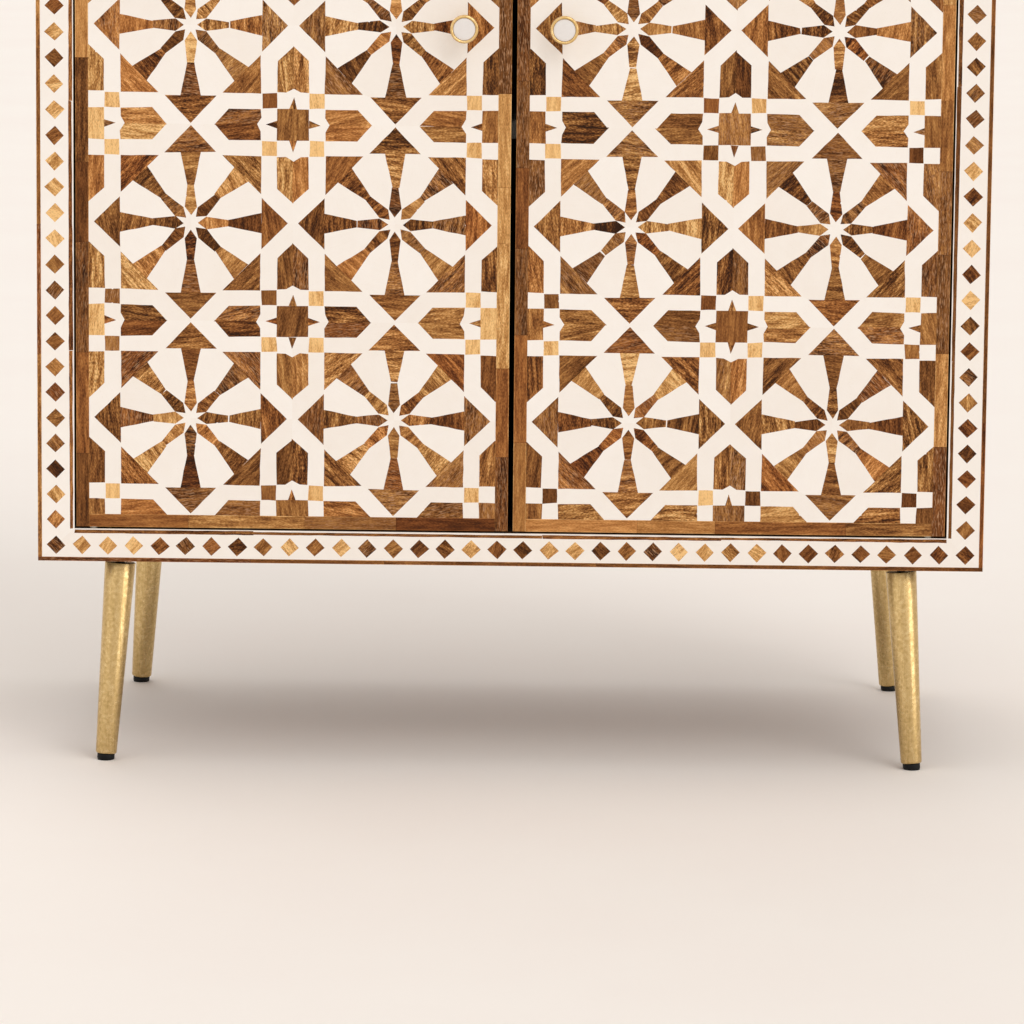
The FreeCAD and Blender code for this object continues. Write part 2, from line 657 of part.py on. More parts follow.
def inset(points, gap):
    """The outline drawn in by a gap on every side."""
    moved = []
    for a, b in zip(points, points[1:] + points[:1]):
        run = math.dist(a, b)
        nx, ny = -(b[1] - a[1]) / run * gap, (b[0] - a[0]) / run * gap
        moved.append(((a[0] + nx, a[1] + ny), (b[0] + nx, b[1] + ny)))
    result = []
    for (a, b), (c, d) in zip(moved[-1:] + moved[:-1], moved):
        ux, uy, vx, vy = b[0] - a[0], b[1] - a[1], d[0] - c[0], d[1] - c[1]
        t = ((c[0] - a[0]) * vy - (c[1] - a[1]) * vx) / (ux * vy - uy * vx)
        result.append((a[0] + t * ux, a[1] + t * uy))
    return result


def polar(centre, angle, along, across):
    """A point at a distance along and across a direction."""
    c, s = math.cos(angle), math.sin(angle)
    return centre[0] + along * c - across * s, centre[1] + along * s + across * c


def arrowhead(centre, angle, unit):
    """The base corner, tip and other base corner of an arrowhead, and how far out its base is."""
    base, half, tip = (ARROW_SHARES[k] * unit for k in ("base", "half", "tip"))
    return [polar(centre, angle, *point) for point in ((base, -half), (tip, 0), (base, half))], base


def corner_triangle(centre, angle, half_width, half_height, unit):
    """The corners of a cell's corner triangle, its right angle second, and how far out its long side is."""
    corner_x, corner_y, leg = (TRIANGLE_SHARES[k] * unit for k in ("corner_x", "corner_y", "leg"))
    sx, sy = math.copysign(1, math.cos(angle)), math.copysign(1, math.sin(angle))
    x, y = half_width - corner_x, half_height - corner_y
    ends = [(x, y - leg), (x, y), (x - leg, y)]
    points = [(centre[0] + sx * a, centre[1] + sy * b) for a, b in (ends if sx == sy else ends[::-1])]
    return points, (x + y - leg) / math.sqrt(2)


def star(centre, half_width, half_height, unit):
    """Eight spokes of two pieces, four to arrowheads and four to the cell's corners, as holes and pieces."""
    found = []
    share = {k: v * unit for k, v in SPOKE_SHARES.items()}
    for number in range(8):
        facing = angle = number * math.pi / 4
        if number % 2 == 0:
            head, end = arrowhead(centre, facing, unit)
        else:
            head, end = corner_triangle(centre, facing, half_width, half_height, unit)
            angle = math.atan2(half_height * math.sin(facing), half_width * math.cos(facing))
        skew = math.remainder(angle - facing, math.tau)
        tip = polar(centre, angle, share["tip"], 0)
        wide = [polar(centre, angle, share["wide"], s * share["wide_half"]) for s in (-1, 1)]
        waist = [polar(centre, angle, share["waist"], s * share["waist_half"]) for s in (-1, 1)]
        tail = [polar(centre, angle, (end + half * math.sin(skew)) / math.cos(skew), half)
                for half in (-share["end_half"], share["end_half"])]
        hole = [tip, wide[0], waist[0], tail[0], *head, tail[1], waist[1], wide[1]]
        inner, outer = [tip, wide[0], waist[0], waist[1], wide[1]], [waist[0], tail[0], tail[1], waist[1]]
        found.append((hole, [inner, outer, head]))
    return found


def crossing(centre, unit, along_edge):
    """The spiked square, the small squares and the houses round a cell corner, plain along a field's edge."""
    found = []
    half, spike, spike_half = (SQUARE_SHARES[k] * unit for k in ("half", "spike", "spike_half"))
    near, far = SQUARE_SHARES["corner_near"] * unit, SQUARE_SHARES["corner_far"] * unit
    house = {k: v * unit for k, v in HOUSE_SHARES.items()}
    square, middle, spikes = [], [], []
    for number in range(4):
        angle = number * math.pi / 2
        square.append(polar(centre, angle, half, -half))
        middle.append(square[-1])
        foot = [(house["foot"], 0)]
        if number % 2 not in along_edge:
            foot = [(house["foot"] + house["notch"], 0), (house["foot"], house["notch_half"])]
            spikes.append([polar(centre, angle, half, -spike_half), polar(centre, angle, half + spike, 0),
                           polar(centre, angle, half, spike_half)])
            middle += spikes[-1]
        check = [polar(centre, angle, x, y) for x, y in ((near, near), (far, near), (far, far), (near, far))]
        found.append((check, [check]))
        wall = foot + [(house["foot"], house["half"]), (house["eaves"], house["half"]), (house["ridge"], 0)]
        halves = [[polar(centre, angle, along, s * across) for along, across in wall] for s in (1, -1)]
        found.append((halves[0] + halves[1][::-1][1:-1], halves))
    found.append((middle, [square, *spikes]))
    return found


def star_field(width, height, columns, rows):
    """All pieces of a star field about the origin, as holes and pieces clipped to it."""
    cell_width, cell_height = width / columns, height / rows
    unit = min(cell_width, cell_height)
    raw = []
    for column in range(columns):
        for row in range(rows):
            centre = ((column + 0.5) * cell_width - width / 2, (row + 0.5) * cell_height - height / 2)
            raw += star(centre, cell_width / 2, cell_height / 2, unit)
    for column in range(columns + 1):
        for row in range(rows + 1):
            along_edge = {way for way, edge in ((0, row in (0, rows)), (1, column in (0, columns))) if edge}
            centre = (column * cell_width - width / 2, row * cell_height - height / 2)
            raw += crossing(centre, unit, along_edge)
    rim = value("field_rim")
    holes, pieces = [], []
    for hole, members in raw:
        hole = clipped(ordered(hole), width / 2 - rim, height / 2 - rim)
        if hole:
            holes.append(hole)
            inner = [clipped(ordered(member), width / 2 - rim, height / 2 - rim) for member in members]
            pieces += [inset(member, value("filler_gap")) for member in inner if member]
    return holes, pieces


def diamond(centre):
    """A square on its point."""
    half = value("diamond_width") / 2
    return [polar(centre, number * math.pi / 2, half, 0) for number in range(4)]


def slab_of(corners, holes=()):
    """A sheet of the inlay's thickness, with holes."""
    wires = [ordered(corners)] + [ordered(hole)[::-1] for hole in holes]
    loops = [Part.makePolygon([Vector(x, y, 0) for x, y in wire + wire[:1]]) for wire in wires]
    return Part.Face(loops).extrude(Vector(0, 0, value("skin_thick")))


def block_between(ax, ay, bx, by):
    """The corners of a rectangle, from any two opposite ones."""
    (low_x, high_x), (low_y, high_y) = sorted((ax, bx)), sorted((ay, by))
    return [(low_x, low_y), (high_x, low_y), (high_x, high_y), (low_x, high_y)]


def frame_strips(half_width, half_height, side, rail):
    """Four strips of a frame: two rails over the full width and two uprights between them."""
    rails = [block_between(-half_width, s * half_height, half_width, s * (half_height - rail))
             for s in (-1, 1)]
    uprights = [block_between(s * half_width, rail - half_height, s * (half_width - side), half_height - rail)
                for s in (-1, 1)]
    return rails + uprights


def band_diamonds(half_width, half_height, side, rail):
    """Diamonds for the four strips of a bone band, in the order of the strips."""
    pitch = value("diamond_pitch")
    reach_x, reach_y = half_width - side / 2, half_height - rail / 2
    across, up = round(2 * reach_x / pitch), round(2 * reach_y / pitch)
    found = [[diamond((-reach_x + number * 2 * reach_x / across, s * reach_y))
              for number in range(across + 1)] for s in (-1, 1)]
    found += [[diamond((s * reach_x, -reach_y + number * 2 * reach_y / up)) for number in range(1, up)]
              for s in (-1, 1)]
    return found


def inlay(label, shapes, face, place):
    """A group of inlay pieces turned to their wall."""
    feature = doc.addObject("Part::Feature", label)
    feature.Shape = Part.makeCompound(shapes)
    feature.Placement = Placement(spot(place), FACES[face])
    return keep(label, feature)


def band(half_width, half_height, side, rail):
    """The strips of a bone band, with holes, and its diamonds."""
    strips = frame_strips(half_width, half_height, side, rail)
    diamonds = band_diamonds(half_width, half_height, side, rail)
    bone = [slab_of(strip, holes) for strip, holes in zip(strips, diamonds)]
    wood = [slab_of(inset(ordered(one), value("filler_gap"))) for row in diamonds for one in row]
    return bone, wood


def edge_runs(half_width, half_height, near, far):
    """Four strips beside the edges of a rectangle, as long as the edges, from near to far outside it."""
    uprights = [block_between(s * (half_width + near), -half_height, s * (half_width + far), half_height)
                for s in (-1, 1)]
    rails = [block_between(-half_width, s * (half_height + near), half_width, s * (half_height + far))
             for s in (-1, 1)]
    return uprights + rails


def make_front_border():
    """Edge strips, bone band, bead and white line round the doors, with white corners between the beads."""
    half_width, half_height = value("case_width / 2"), value("body_height / 2")
    edging, line, inner = value("edging_width"), value("line_width"), value("bead_width + line_width")
    side, rail = value("side_border - edging_width") - inner, value("rail_border - edging_width") - inner
    place = ("0", "board_front", "leg_height + body_height / 2")
    edges = [slab_of(strip) for strip in frame_strips(half_width, half_height, edging, edging)]
    bone, wood = band(half_width - edging, half_height - edging, side, rail)
    x, y = value("open_half"), value("(open_high - open_low) / 2")
    edges += [slab_of(strip) for strip in edge_runs(x, y, line, inner)]
    bone += [slab_of(strip) for strip in edge_runs(x, y, 0, line)]
    bone += [slab_of(block_between(sx * x, sy * y, sx * (x + inner), sy * (y + inner)))
             for sx in (-1, 1) for sy in (-1, 1)]
    inlay("front_border_bone", bone, "front", place)
    inlay("front_border_diamonds", wood, "front", place)
    inlay("front_edge_strips", edges, "front", place)


def make_panel(label, face, place, width, height, columns, rows):
    """An inlaid wall: edge strips, diamond band, bead and star field."""
    edging, bead, rim = value("edging_width"), value("bead_width"), value("panel_band")
    half_width, half_height = width / 2, height / 2
    wood = [slab_of(strip) for strip in frame_strips(half_width, half_height, edging, edging)]
    bone, diamonds = band(half_width - edging, half_height - edging, rim, rim)
    inner = edging + rim
    beads = frame_strips(half_width - inner, half_height - inner, bead, bead)
    wood += diamonds + [slab_of(strip) for strip in beads]
    inner += bead
    holes, pieces = star_field(width - 2 * inner, height - 2 * inner, columns, rows)
    corners = block_between(inner - half_width, inner - half_height, half_width - inner, half_height - inner)
    bone.append(slab_of(corners, holes))
    inlay(f"{label}_bone", bone, face, place)
    inlay(f"{label}_wood", wood + [slab_of(piece) for piece in pieces], face, place)


def make_panels():
    """The inlay of both sides and of the top."""
    columns, rows = round(value("star_columns")), round(value("star_rows"))
    middle = "board_front + board_depth / 2"
    for name, side in SIDES:
        place = (f"({side}) * (case_width / 2 - skin_thick)", middle, "leg_height + body_height / 2")
        make_panel(f"{name}_side_inlay", name, place, value("board_depth"), value("body_height"),
                   columns, rows)
    make_panel("top_inlay", "top", ("0", middle, "crown - skin_thick"), value("case_width - 2 * skin_thick"),
               value("board_depth"), round(value("top_columns")), round(value("top_rows")))


# Doors

def edging_pieces(half_width, half_height):
    """The short butted pieces of a door's edging: full-height uprights, and rails between them."""
    strip, gap = value("door_edging"), value("filler_gap")
    pieces = []
    for number, corners in enumerate(frame_strips(half_height, half_width, strip, strip)):
        (low_y, low_x), (high_y, high_x) = corners[0], corners[2]
        count = round(value("edging_pieces_up" if number < 2 else "edging_pieces_across"))
        for step in range(count):
            start, stop = step / count, (step + 1) / count
            if number < 2:
                ends = low_x, low_y + start * (high_y - low_y), high_x, low_y + stop * (high_y - low_y) - gap
            else:
                ends = low_x + start * (high_x - low_x), low_y, low_x + stop * (high_x - low_x) - gap, high_y
            pieces.append(slab_of(block_between(*ends)))
    return pieces


def make_door(name, side):
    """One door: core, edging, inlay, knob, pivots and strike."""
    middle = f"({side}) * door_middle"
    slab = box(f"{name}_door_slab", (f"{middle} - door_width / 2", "board_front", "door_low"),
               ("door_width", "core_thick", "door_height"))
    seats, tools, leaves = [], [], []
    for level in ("bottom", "top"):
        low = "door_low" if level == "bottom" else "door_high - leaf_thick"
        tools.append(leaf_box(f"{name}_{level}_door_mortise", side, low, "leaf_room"))
        here = leaf_seats(side, DOOR_LEAVES[level])
        seats += here
        leaf = leaf_box(f"{name}_{level}_door_leaf", side, low)
        hole = rod(f"{name}_{level}_pin_hole", "pin_width + 2 * pin_room", "leaf_thick + 2 * overrun",
                   (f"({side}) * pivot_x", "pivot_y", f"{low} - overrun"))
        ways = seat_bores(f"{name}_{level}_door_leaf_bore", here)
        ways += head_bores(f"{name}_{level}_door_leaf_head", here, "screw_head_thick")
        leaves.append(cut(f"{name}_{level}_door_pivot", leaf, [hole] + ways))
    keep(f"{name}_door_pivots", group(f"{name}_door_pivots", leaves))
    washer = rod(f"{name}_washer_disc", "washer_width", "door_gap",
                 (f"({side}) * pivot_x", "pivot_y", "open_low"))
    washer_hole = rod(f"{name}_washer_hole", "pin_width + 2 * fit_room", "door_gap + 2 * overrun",
                      (f"({side}) * pivot_x", "pivot_y", "open_low - overrun"))
    keep(f"{name}_pivot_washer", cut(f"{name}_pivot_washer", washer, [washer_hole]))

    strike_low = "door_high - door_gap - strike_tall"
    strike_x = f"({side}) * magnet_offset"
    strike_seat = [((strike_x, "catch_front", f"{strike_low} + strike_foot"), "rear")]
    strike = padded(f"{name}_strike_sheet", rectangle("strike_width", "strike_tall"), "strike_thick",
                    (f"{strike_x} - strike_width / 2", "catch_front", strike_low), "front")
    keep(f"{name}_strike", cut(f"{name}_strike", strike, seat_bores(f"{name}_strike_way", strike_seat)))
    screws(f"{name}_door_screws", seats + strike_seat)

    knob_place = (f"({side}) * knob_x", "front", "knob_z")
    screw_place = (f"({side}) * knob_x", "door_rear + knob_screw_head_thick", "knob_z")
    way = rod(f"{name}_knob_way", "knob_screw_width + 2 * fit_room", "door_rear - front + 2 * overrun",
              (f"({side}) * knob_x", "door_rear + overrun", "knob_z"), "front")
    tools += [way] + seat_bores(f"{name}_door_bore", seats + strike_seat)
    keep(f"{name}_door_core", cut(f"{name}_door_core", slab, tools))
    make_knob(name, knob_place, screw_place)

    doc.recompute()
    width, height = value("door_width"), value("door_height")
    place = (middle, "board_front", "door_low + door_height / 2")
    inlay(f"{name}_door_edging", edging_pieces(width / 2, height / 2), "front", place)
    strip = value("door_edging")
    columns, rows = round(value("star_columns")), round(value("star_rows"))
    holes, pieces = star_field(width - 2 * strip, height - 2 * strip, columns, rows)
    corners = block_between(strip - width / 2, strip - height / 2, width / 2 - strip, height / 2 - strip)
    ground = slab_of(corners, holes)
    drill = way.Shape.copy()
    drill.Placement = Placement(spot(place), FACES["front"]).inverse() * way.Placement
    wood = [piece.cut(drill).Solids[0] if piece.BoundBox.intersect(drill.BoundBox) else piece
            for piece in map(slab_of, pieces)]
    inlay(f"{name}_door_bone", [ground.cut(drill)], "front", place)
    inlay(f"{name}_door_wood", wood, "front", place)


def make_knob(name, knob_place, screw_place):
    """A brass knob with a white insert, and its screw from inside the door."""
    bore = "knob_screw_width / 2 + fit_room"
    seat = "knob_reach - knob_insert_sink - knob_insert_thick"
    cup = "knob_insert_width / 2 + fit_room"
    keep(f"{name}_knob", turned(f"{name}_knob", (
        (bore, 0), ("knob_base_width / 2", 0), ("knob_base_width / 2", "knob_base_thick"),
        ("knob_stem_width / 2", "knob_base_thick"), ("knob_stem_width / 2", "knob_neck"),
        ("knob_width / 2", "knob_neck + knob_flare"), ("knob_width / 2", "knob_reach"), (cup, "knob_reach"),
        (cup, seat), (0, seat), (0, "knob_bore_depth"), (bore, "knob_bore_depth"),
    ), knob_place, "front"))
    insert_place = (knob_place[0], f"front - ({seat})", knob_place[2])
    keep(f"{name}_knob_insert", turned(f"{name}_knob_insert", (
        (0, 0), ("knob_insert_width / 2", 0), ("knob_insert_width / 2", "knob_insert_thick"),
        (0, "knob_insert_thick"),
    ), insert_place, "front"))
    length = "knob_screw_head_thick + core_thick + skin_thick + knob_screw_grip"
    keep(f"{name}_knob_screw", turned(f"{name}_knob_screw", (
        (0, 0), ("knob_screw_head_width / 2", 0), ("knob_screw_head_width / 2", "knob_screw_head_thick"),
        ("knob_screw_width / 2", "knob_screw_head_thick"), ("knob_screw_width / 2", length), (0, length),
    ), screw_place, "front"))


make_carcass()
make_shelf_supports()
make_case_pivots()
make_catch()
leg_seats = []
for side_name, side in SIDES:
    for end_name, end in ENDS:
        leg_seats += make_leg(side_name, side, end_name, end)
screws("leg_plate_screws", leg_seats)
make_front_border()
make_panels()
for side_name, side in SIDES:
    make_door(side_name, side)
doc.recompute()

# Every object and every finished piece is sound before anything is written
for item in doc.Objects:
    if {"Invalid", "Error"} & set(item.State):
        raise RuntimeError(f"{item.Name} is {item.State}")
for label, item in parts.items():
    if item.Shape.isNull() or not item.Shape.isValid() or not item.Shape.Solids:
        raise RuntimeError(f"{label} has no sound solid")
os.makedirs("parts", exist_ok=True)
for label, item in parts.items():
    item.Shape.exportStep(f"parts/{label}.step")
    print(label, len(item.Shape.Solids), round(item.Shape.Volume))
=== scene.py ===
"""Looks of the bone inlay cabinet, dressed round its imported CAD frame.

The inlaid faces, legs, glides, knobs and screws are modelled here and stand for their CAD nodes. Boards, pivots,
plates and the catch keep their CAD shape and get eased edges and a finish. Outlines are drawn in millimetres in the
plane of a face, and objects are in metres in the frame of the CAD.
"""

import logging
import math
import random
from collections.abc import Iterable, Sequence
from dataclasses import dataclass, field, replace
from enum import Enum
from typing import ClassVar

import bmesh
import bpy
from mathutils import Matrix, Vector
from mathutils.geometry import delaunay_2d_cdt


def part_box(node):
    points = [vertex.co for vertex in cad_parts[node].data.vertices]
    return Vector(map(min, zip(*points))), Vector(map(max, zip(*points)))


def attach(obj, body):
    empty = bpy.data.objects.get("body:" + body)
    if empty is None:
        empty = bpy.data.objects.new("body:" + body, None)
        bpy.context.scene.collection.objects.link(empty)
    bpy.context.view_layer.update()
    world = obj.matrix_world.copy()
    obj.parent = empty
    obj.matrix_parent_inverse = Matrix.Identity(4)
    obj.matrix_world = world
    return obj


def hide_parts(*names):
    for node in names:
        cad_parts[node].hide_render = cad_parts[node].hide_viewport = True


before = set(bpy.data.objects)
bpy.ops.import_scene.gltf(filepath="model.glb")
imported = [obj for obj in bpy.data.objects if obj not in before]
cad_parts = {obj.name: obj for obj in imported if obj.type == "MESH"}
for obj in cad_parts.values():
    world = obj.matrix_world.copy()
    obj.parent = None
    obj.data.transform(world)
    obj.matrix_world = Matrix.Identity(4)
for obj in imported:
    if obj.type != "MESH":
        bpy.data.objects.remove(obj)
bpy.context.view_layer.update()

log = logging.getLogger("cabinet")
MM = 0.001
# The map along the grain that every inlaid piece carries
GRAIN_MAP = "Grain"
# Nearly all of a noise lies between these two values
NOISE_LOW, NOISE_HIGH = 0.3, 0.7
# Turned pieces are shaded smooth, but for corners sharper than this
SHARP = math.radians(38)
# How the ground is cut by its pieces: only what lies inside an outline is kept, and points this close are one
KEEP_INSIDE, SAME_POINT_MM = 1, 1e-4
Point = tuple[float, float]
Outline = list[Point]
Triangle = tuple[int, int, int]


def linear(code: str) -> tuple[float, float, float, float]:
    """Turns an sRGB colour to linear light.

    Args:
        code: The colour as "#rrggbb".

    Returns:
        Linear red, green and blue, with an alpha of 1.
    """
    channels = [int(code[start:start + 2], 16) / 255 for start in (1, 3, 5)]
    red, green, blue = (c / 12.92 if c <= 0.04045 else ((c + 0.055) / 1.055) ** 2.4 for c in channels)
    return red, green, blue, 1.0


def add_node(tree: bpy.types.NodeTree, kind: str, inputs: dict[str | int, object] | None = None,
             stops: Sequence[tuple[float, str]] = (), **settings: object) -> bpy.types.Node:
    """Adds a shader node with its settings, values and links.

    Args:
        tree: The material's node tree.
        kind: The node's type without its "ShaderNode" prefix.
        inputs: Values or sockets for the node's inputs, by name or number.
        stops: Places and hex colours of a colour ramp.
        settings: The node's own properties.

    Returns:
        The new node.
    """
    node = tree.nodes.new(f"ShaderNode{kind}")
    for name, value in settings.items():
        setattr(node, name, value)
    for name, value in (inputs or {}).items():
        if isinstance(value, bpy.types.NodeSocket):
            tree.links.new(value, node.inputs[name])
        else:
            node.inputs[name].default_value = value
    for number, (place, code) in enumerate(stops):
        ramp = node.color_ramp.elements
        stop = ramp[number] if number < 2 else ramp.new(place)
        stop.position, stop.color = place, linear(code)
    return node


# Finishes


class Run(Enum):
    """The way a board's grain runs, as the axis of the frame."""

    ACROSS = 0
    UP = 2


@dataclass(frozen=True)
class Figure:
    """A layer of grain: its size along and across the grain in millimetres, its detail and its waviness."""

    along: float
    across: float
    detail: float
    wave: float


@dataclass(frozen=True)
class Finish:
    """A surface as a real material and the way it was made."""

    name: str

    def material(self) -> bpy.types.Material:
        """Makes the material once and gives it back after that.

        Returns:
            The material.
        """
        made = bpy.data.materials.get(self.name)
        if made is None:
            made = bpy.data.materials.new(self.name)
            made.use_nodes = True
            self.draw(made.node_tree, made.node_tree.nodes["Principled BSDF"])
        return made

    def draw(self, tree: bpy.types.NodeTree, shader: bpy.types.Node) -> None:
        """Draws the finish into a new material."""
        raise NotImplementedError


@dataclass(frozen=True)
class PolishedBone(Finish):
    """Bone tiles in a resin ground, sawn, sanded flush and waxed.

    The eye sees one warm white with a soft gloss. Close to, each tile has its own warmth, faint lamellae along it
    and a few tan pores.
    """

    name: str = "bone_sawn_sanded_waxed"
    pale: str = "#faf4ed"
    warm: str = "#f2e8dd"
    pore: str = "#d3bf9f"
    mottle_mm: float = 16.0
    lamella_mm: Point = (30.0, 1.5)
    # Real pores are about 0.1 mm wide: drawn wider, so that they show
    pore_mm: Point = (3.2, 0.55)
    # Where in their noise the pores begin and are open, and how far they take their colour
    pore_open: Point = (0.68, 0.80)
    pore_depth: float = 0.30
    # How far mottling, lamellae and the tile itself warm the white, from a pale start
    mottle_depth: float = 0.55
    lamella_depth: float = 0.30
    tile_depth: float = 0.45
    start: float = -0.20
    gloss: Point = (0.30, 0.42)
    relief_mm: float = 0.05
    index: float = 1.54

    def draw(self, tree: bpy.types.NodeTree, shader: bpy.types.Node) -> None:
        """Draws warmth by tile, mottling, lamellae and pores.

        Args:
            tree: The material's node tree.
            shader: Its surface shader.
        """
        place = add_node(tree, "TexCoord").outputs["Object"]
        grain = add_node(tree, "UVMap", uv_map=GRAIN_MAP).outputs["UV"]
        tile = add_node(tree, "Attribute", attribute_name="tone").outputs["Fac"]
        mottle = add_node(tree, "TexNoise", {"Vector": place, "Scale": 1 / (self.mottle_mm * MM), "Detail": 4.0})
        along = add_node(tree, "Mapping", {"Vector": grain, "Scale": (
            1 / (self.lamella_mm[0] * MM), 1 / (self.lamella_mm[1] * MM), 1.0)})
        lamella = add_node(tree, "TexNoise", {"Vector": along.outputs[0], "Scale": 1.0, "Detail": 3.0})
        spread = add_node(tree, "Mapping", {"Vector": grain, "Scale": (
            1 / (self.pore_mm[0] * MM), 1 / (self.pore_mm[1] * MM), 1.0)})
        canal = add_node(tree, "TexNoise", {"Vector": spread.outputs[0], "Scale": 1.0, "Detail": 1.0})
        open_pore = add_node(tree, "MapRange", {
            "Value": canal.outputs["Fac"], "From Min": self.pore_open[0], "From Max": self.pore_open[1],
            "To Min": 0.0, "To Max": self.pore_depth})
        cloud = add_node(tree, "Math", {0: mottle.outputs["Fac"], 1: self.mottle_depth, 2: self.start},
                         operation="MULTIPLY_ADD")
        layered = add_node(tree, "Math", {0: lamella.outputs["Fac"], 1: self.lamella_depth, 2: cloud.outputs[0]},
                           operation="MULTIPLY_ADD")
        warmth = add_node(tree, "Math", {0: tile, 1: self.tile_depth, 2: layered.outputs[0]},
                          operation="MULTIPLY_ADD", use_clamp=True)
        body = add_node(tree, "Mix", {0: warmth.outputs[0], 6: linear(self.pale), 7: linear(self.warm)},
                        data_type="RGBA")
        colour = add_node(tree, "Mix", {0: open_pore.outputs[0], 6: body.outputs[2], 7: linear(self.pore)},
                          data_type="RGBA")
        gloss = add_node(tree, "MapRange", {
            "Value": mottle.outputs["Fac"], "From Min": NOISE_LOW, "From Max": NOISE_HIGH,
            "To Min": self.gloss[0], "To Max": self.gloss[1]})
        relief = add_node(tree, "Bump", {"Height": lamella.outputs["Fac"], "Strength": 0.12,
                                         "Distance": self.relief_mm * MM})
        shader.inputs["IOR"].default_value = self.index
        tree.links.new(colour.outputs[2], shader.inputs["Base Color"])
        tree.links.new(gloss.outputs[0], shader.inputs["Roughness"])
        tree.links.new(relief.outputs[0], shader.inputs["Normal"])


@dataclass(frozen=True)
class InlayOffcuts(Finish):
    """Walnut, sheesham and mango offcuts, sawn to shape, set in the ground, sanded flush and waxed.

    The eye sees each piece in its own brown, from near black to honey, with streaks along its own grain, short dark
    pores, and pale sanding dust caught in the open grain of some.
    """

    name: str = "hardwood_offcuts_sanded_waxed"
    tones: tuple[tuple[float, str], ...] = (
        (0.0, "#2a1200"), (0.2, "#562f0b"), (0.4, "#825126"), (0.6, "#aa753d"), (0.8, "#d09a5b"), (1.0, "#f4c685"))
    rusty: str = "#ffc9a4"
    pitted: str = "#2a180b"
    dusty: str = "#bd9069"
    # Fibres, pores and caught dust are really under 0.3 mm wide: drawn wider, so that they show
    band: Figure = Figure(50.0, 7.0, 2.0, 0.3)
    streak: Figure = Figure(18.0, 2.4, 2.0, 0.1)
    fibre: Figure = Figure(2.6, 0.8, 1.0, 0.0)
    pore: Figure = Figure(2.8, 0.8, 1.0, 0.0)
    fleck: Figure = Figure(7.0, 0.9, 1.0, 0.3)
    # How far bands, streaks and fibres swing a piece's tone
    depths: tuple[float, float, float] = (0.76, 0.90, 0.76)
    # Where in their noise pores and dust begin and are full, and how far pores take their colour
    pore_open: Point = (0.60, 0.72)
    pore_depth: float = 0.45
    dust_open: Point = (0.54, 0.70)
    gloss: Point = (0.58, 0.46)
    relief_mm: float = 0.06
    # Sanded end grain and open pores break up the shine, so this is well under the wax's 1.45
    index: float = 1.25

    def draw(self, tree: bpy.types.NodeTree, shader: bpy.types.Node) -> None:
        """Draws the grain of each piece by its own map and tone.

        Args:
            tree: The material's node tree.
            shader: Its surface shader.
        """
        grain = add_node(tree, "UVMap", uv_map=GRAIN_MAP).outputs["UV"]
        tone, rust, dust, strength = (add_node(tree, "Attribute", attribute_name=name).outputs["Fac"]
                                      for name in InlayMesh.MARKS)
        noises = []
        for layer in (self.band, self.streak, self.fibre, self.pore, self.fleck):
            spread = add_node(tree, "Mapping", {"Vector": grain, "Scale": (
                1 / (layer.along * MM), 1 / (layer.across * MM), 1.0)})
            noises.append(add_node(tree, "TexNoise", {
                "Vector": spread.outputs[0], "Scale": 1.0, "Detail": layer.detail, "Distortion": layer.wave},
                noise_dimensions="2D").outputs["Fac"])
        band, streak, fibre, pore, fleck = noises
        swing = -sum(self.depths) / 2
        for noise, depth in zip((band, streak, fibre), self.depths):
            swing = add_node(tree, "Math", {0: noise, 1: depth, 2: swing}, operation="MULTIPLY_ADD").outputs[0]
        shade = add_node(tree, "Math", {0: swing, 1: strength, 2: tone}, operation="MULTIPLY_ADD")
        body = add_node(tree, "ValToRGB", {"Fac": shade.outputs[0]}, stops=self.tones)
        warmed = add_node(tree, "Mix", {0: rust, 6: body.outputs[0], 7: linear(self.rusty)}, data_type="RGBA",
                          blend_type="MULTIPLY")
        deep = add_node(tree, "Math", {0: strength, 1: self.pore_depth}, operation="MULTIPLY")
        open_pore = add_node(tree, "MapRange", {
            "Value": pore, "From Min": self.pore_open[0], "From Max": self.pore_open[1],
            "To Min": 0.0, "To Max": deep.outputs[0]})
        pored = add_node(tree, "Mix", {0: open_pore.outputs[0], 6: warmed.outputs[2], 7: linear(self.pitted)},
                         data_type="RGBA")
        caught = add_node(tree, "MapRange", {
            "Value": fleck, "From Min": self.dust_open[0], "From Max": self.dust_open[1],
            "To Min": 0.0, "To Max": dust})
        colour = add_node(tree, "Mix", {0: caught.outputs[0], 6: pored.outputs[2], 7: linear(self.dusty)},
                          data_type="RGBA")
        gloss = add_node(tree, "MapRange", {
            "Value": band, "From Min": NOISE_LOW, "From Max": NOISE_HIGH,
            "To Min": self.gloss[0], "To Max": self.gloss[1]})
        relief = add_node(tree, "Bump", {"Height": streak, "Strength": 0.25, "Distance": self.relief_mm * MM})
        shader.inputs["IOR"].default_value = self.index
        tree.links.new(colour.outputs[2], shader.inputs["Base Color"])
        tree.links.new(gloss.outputs[0], shader.inputs["Roughness"])
        tree.links.new(relief.outputs[0], shader.inputs["Normal"])


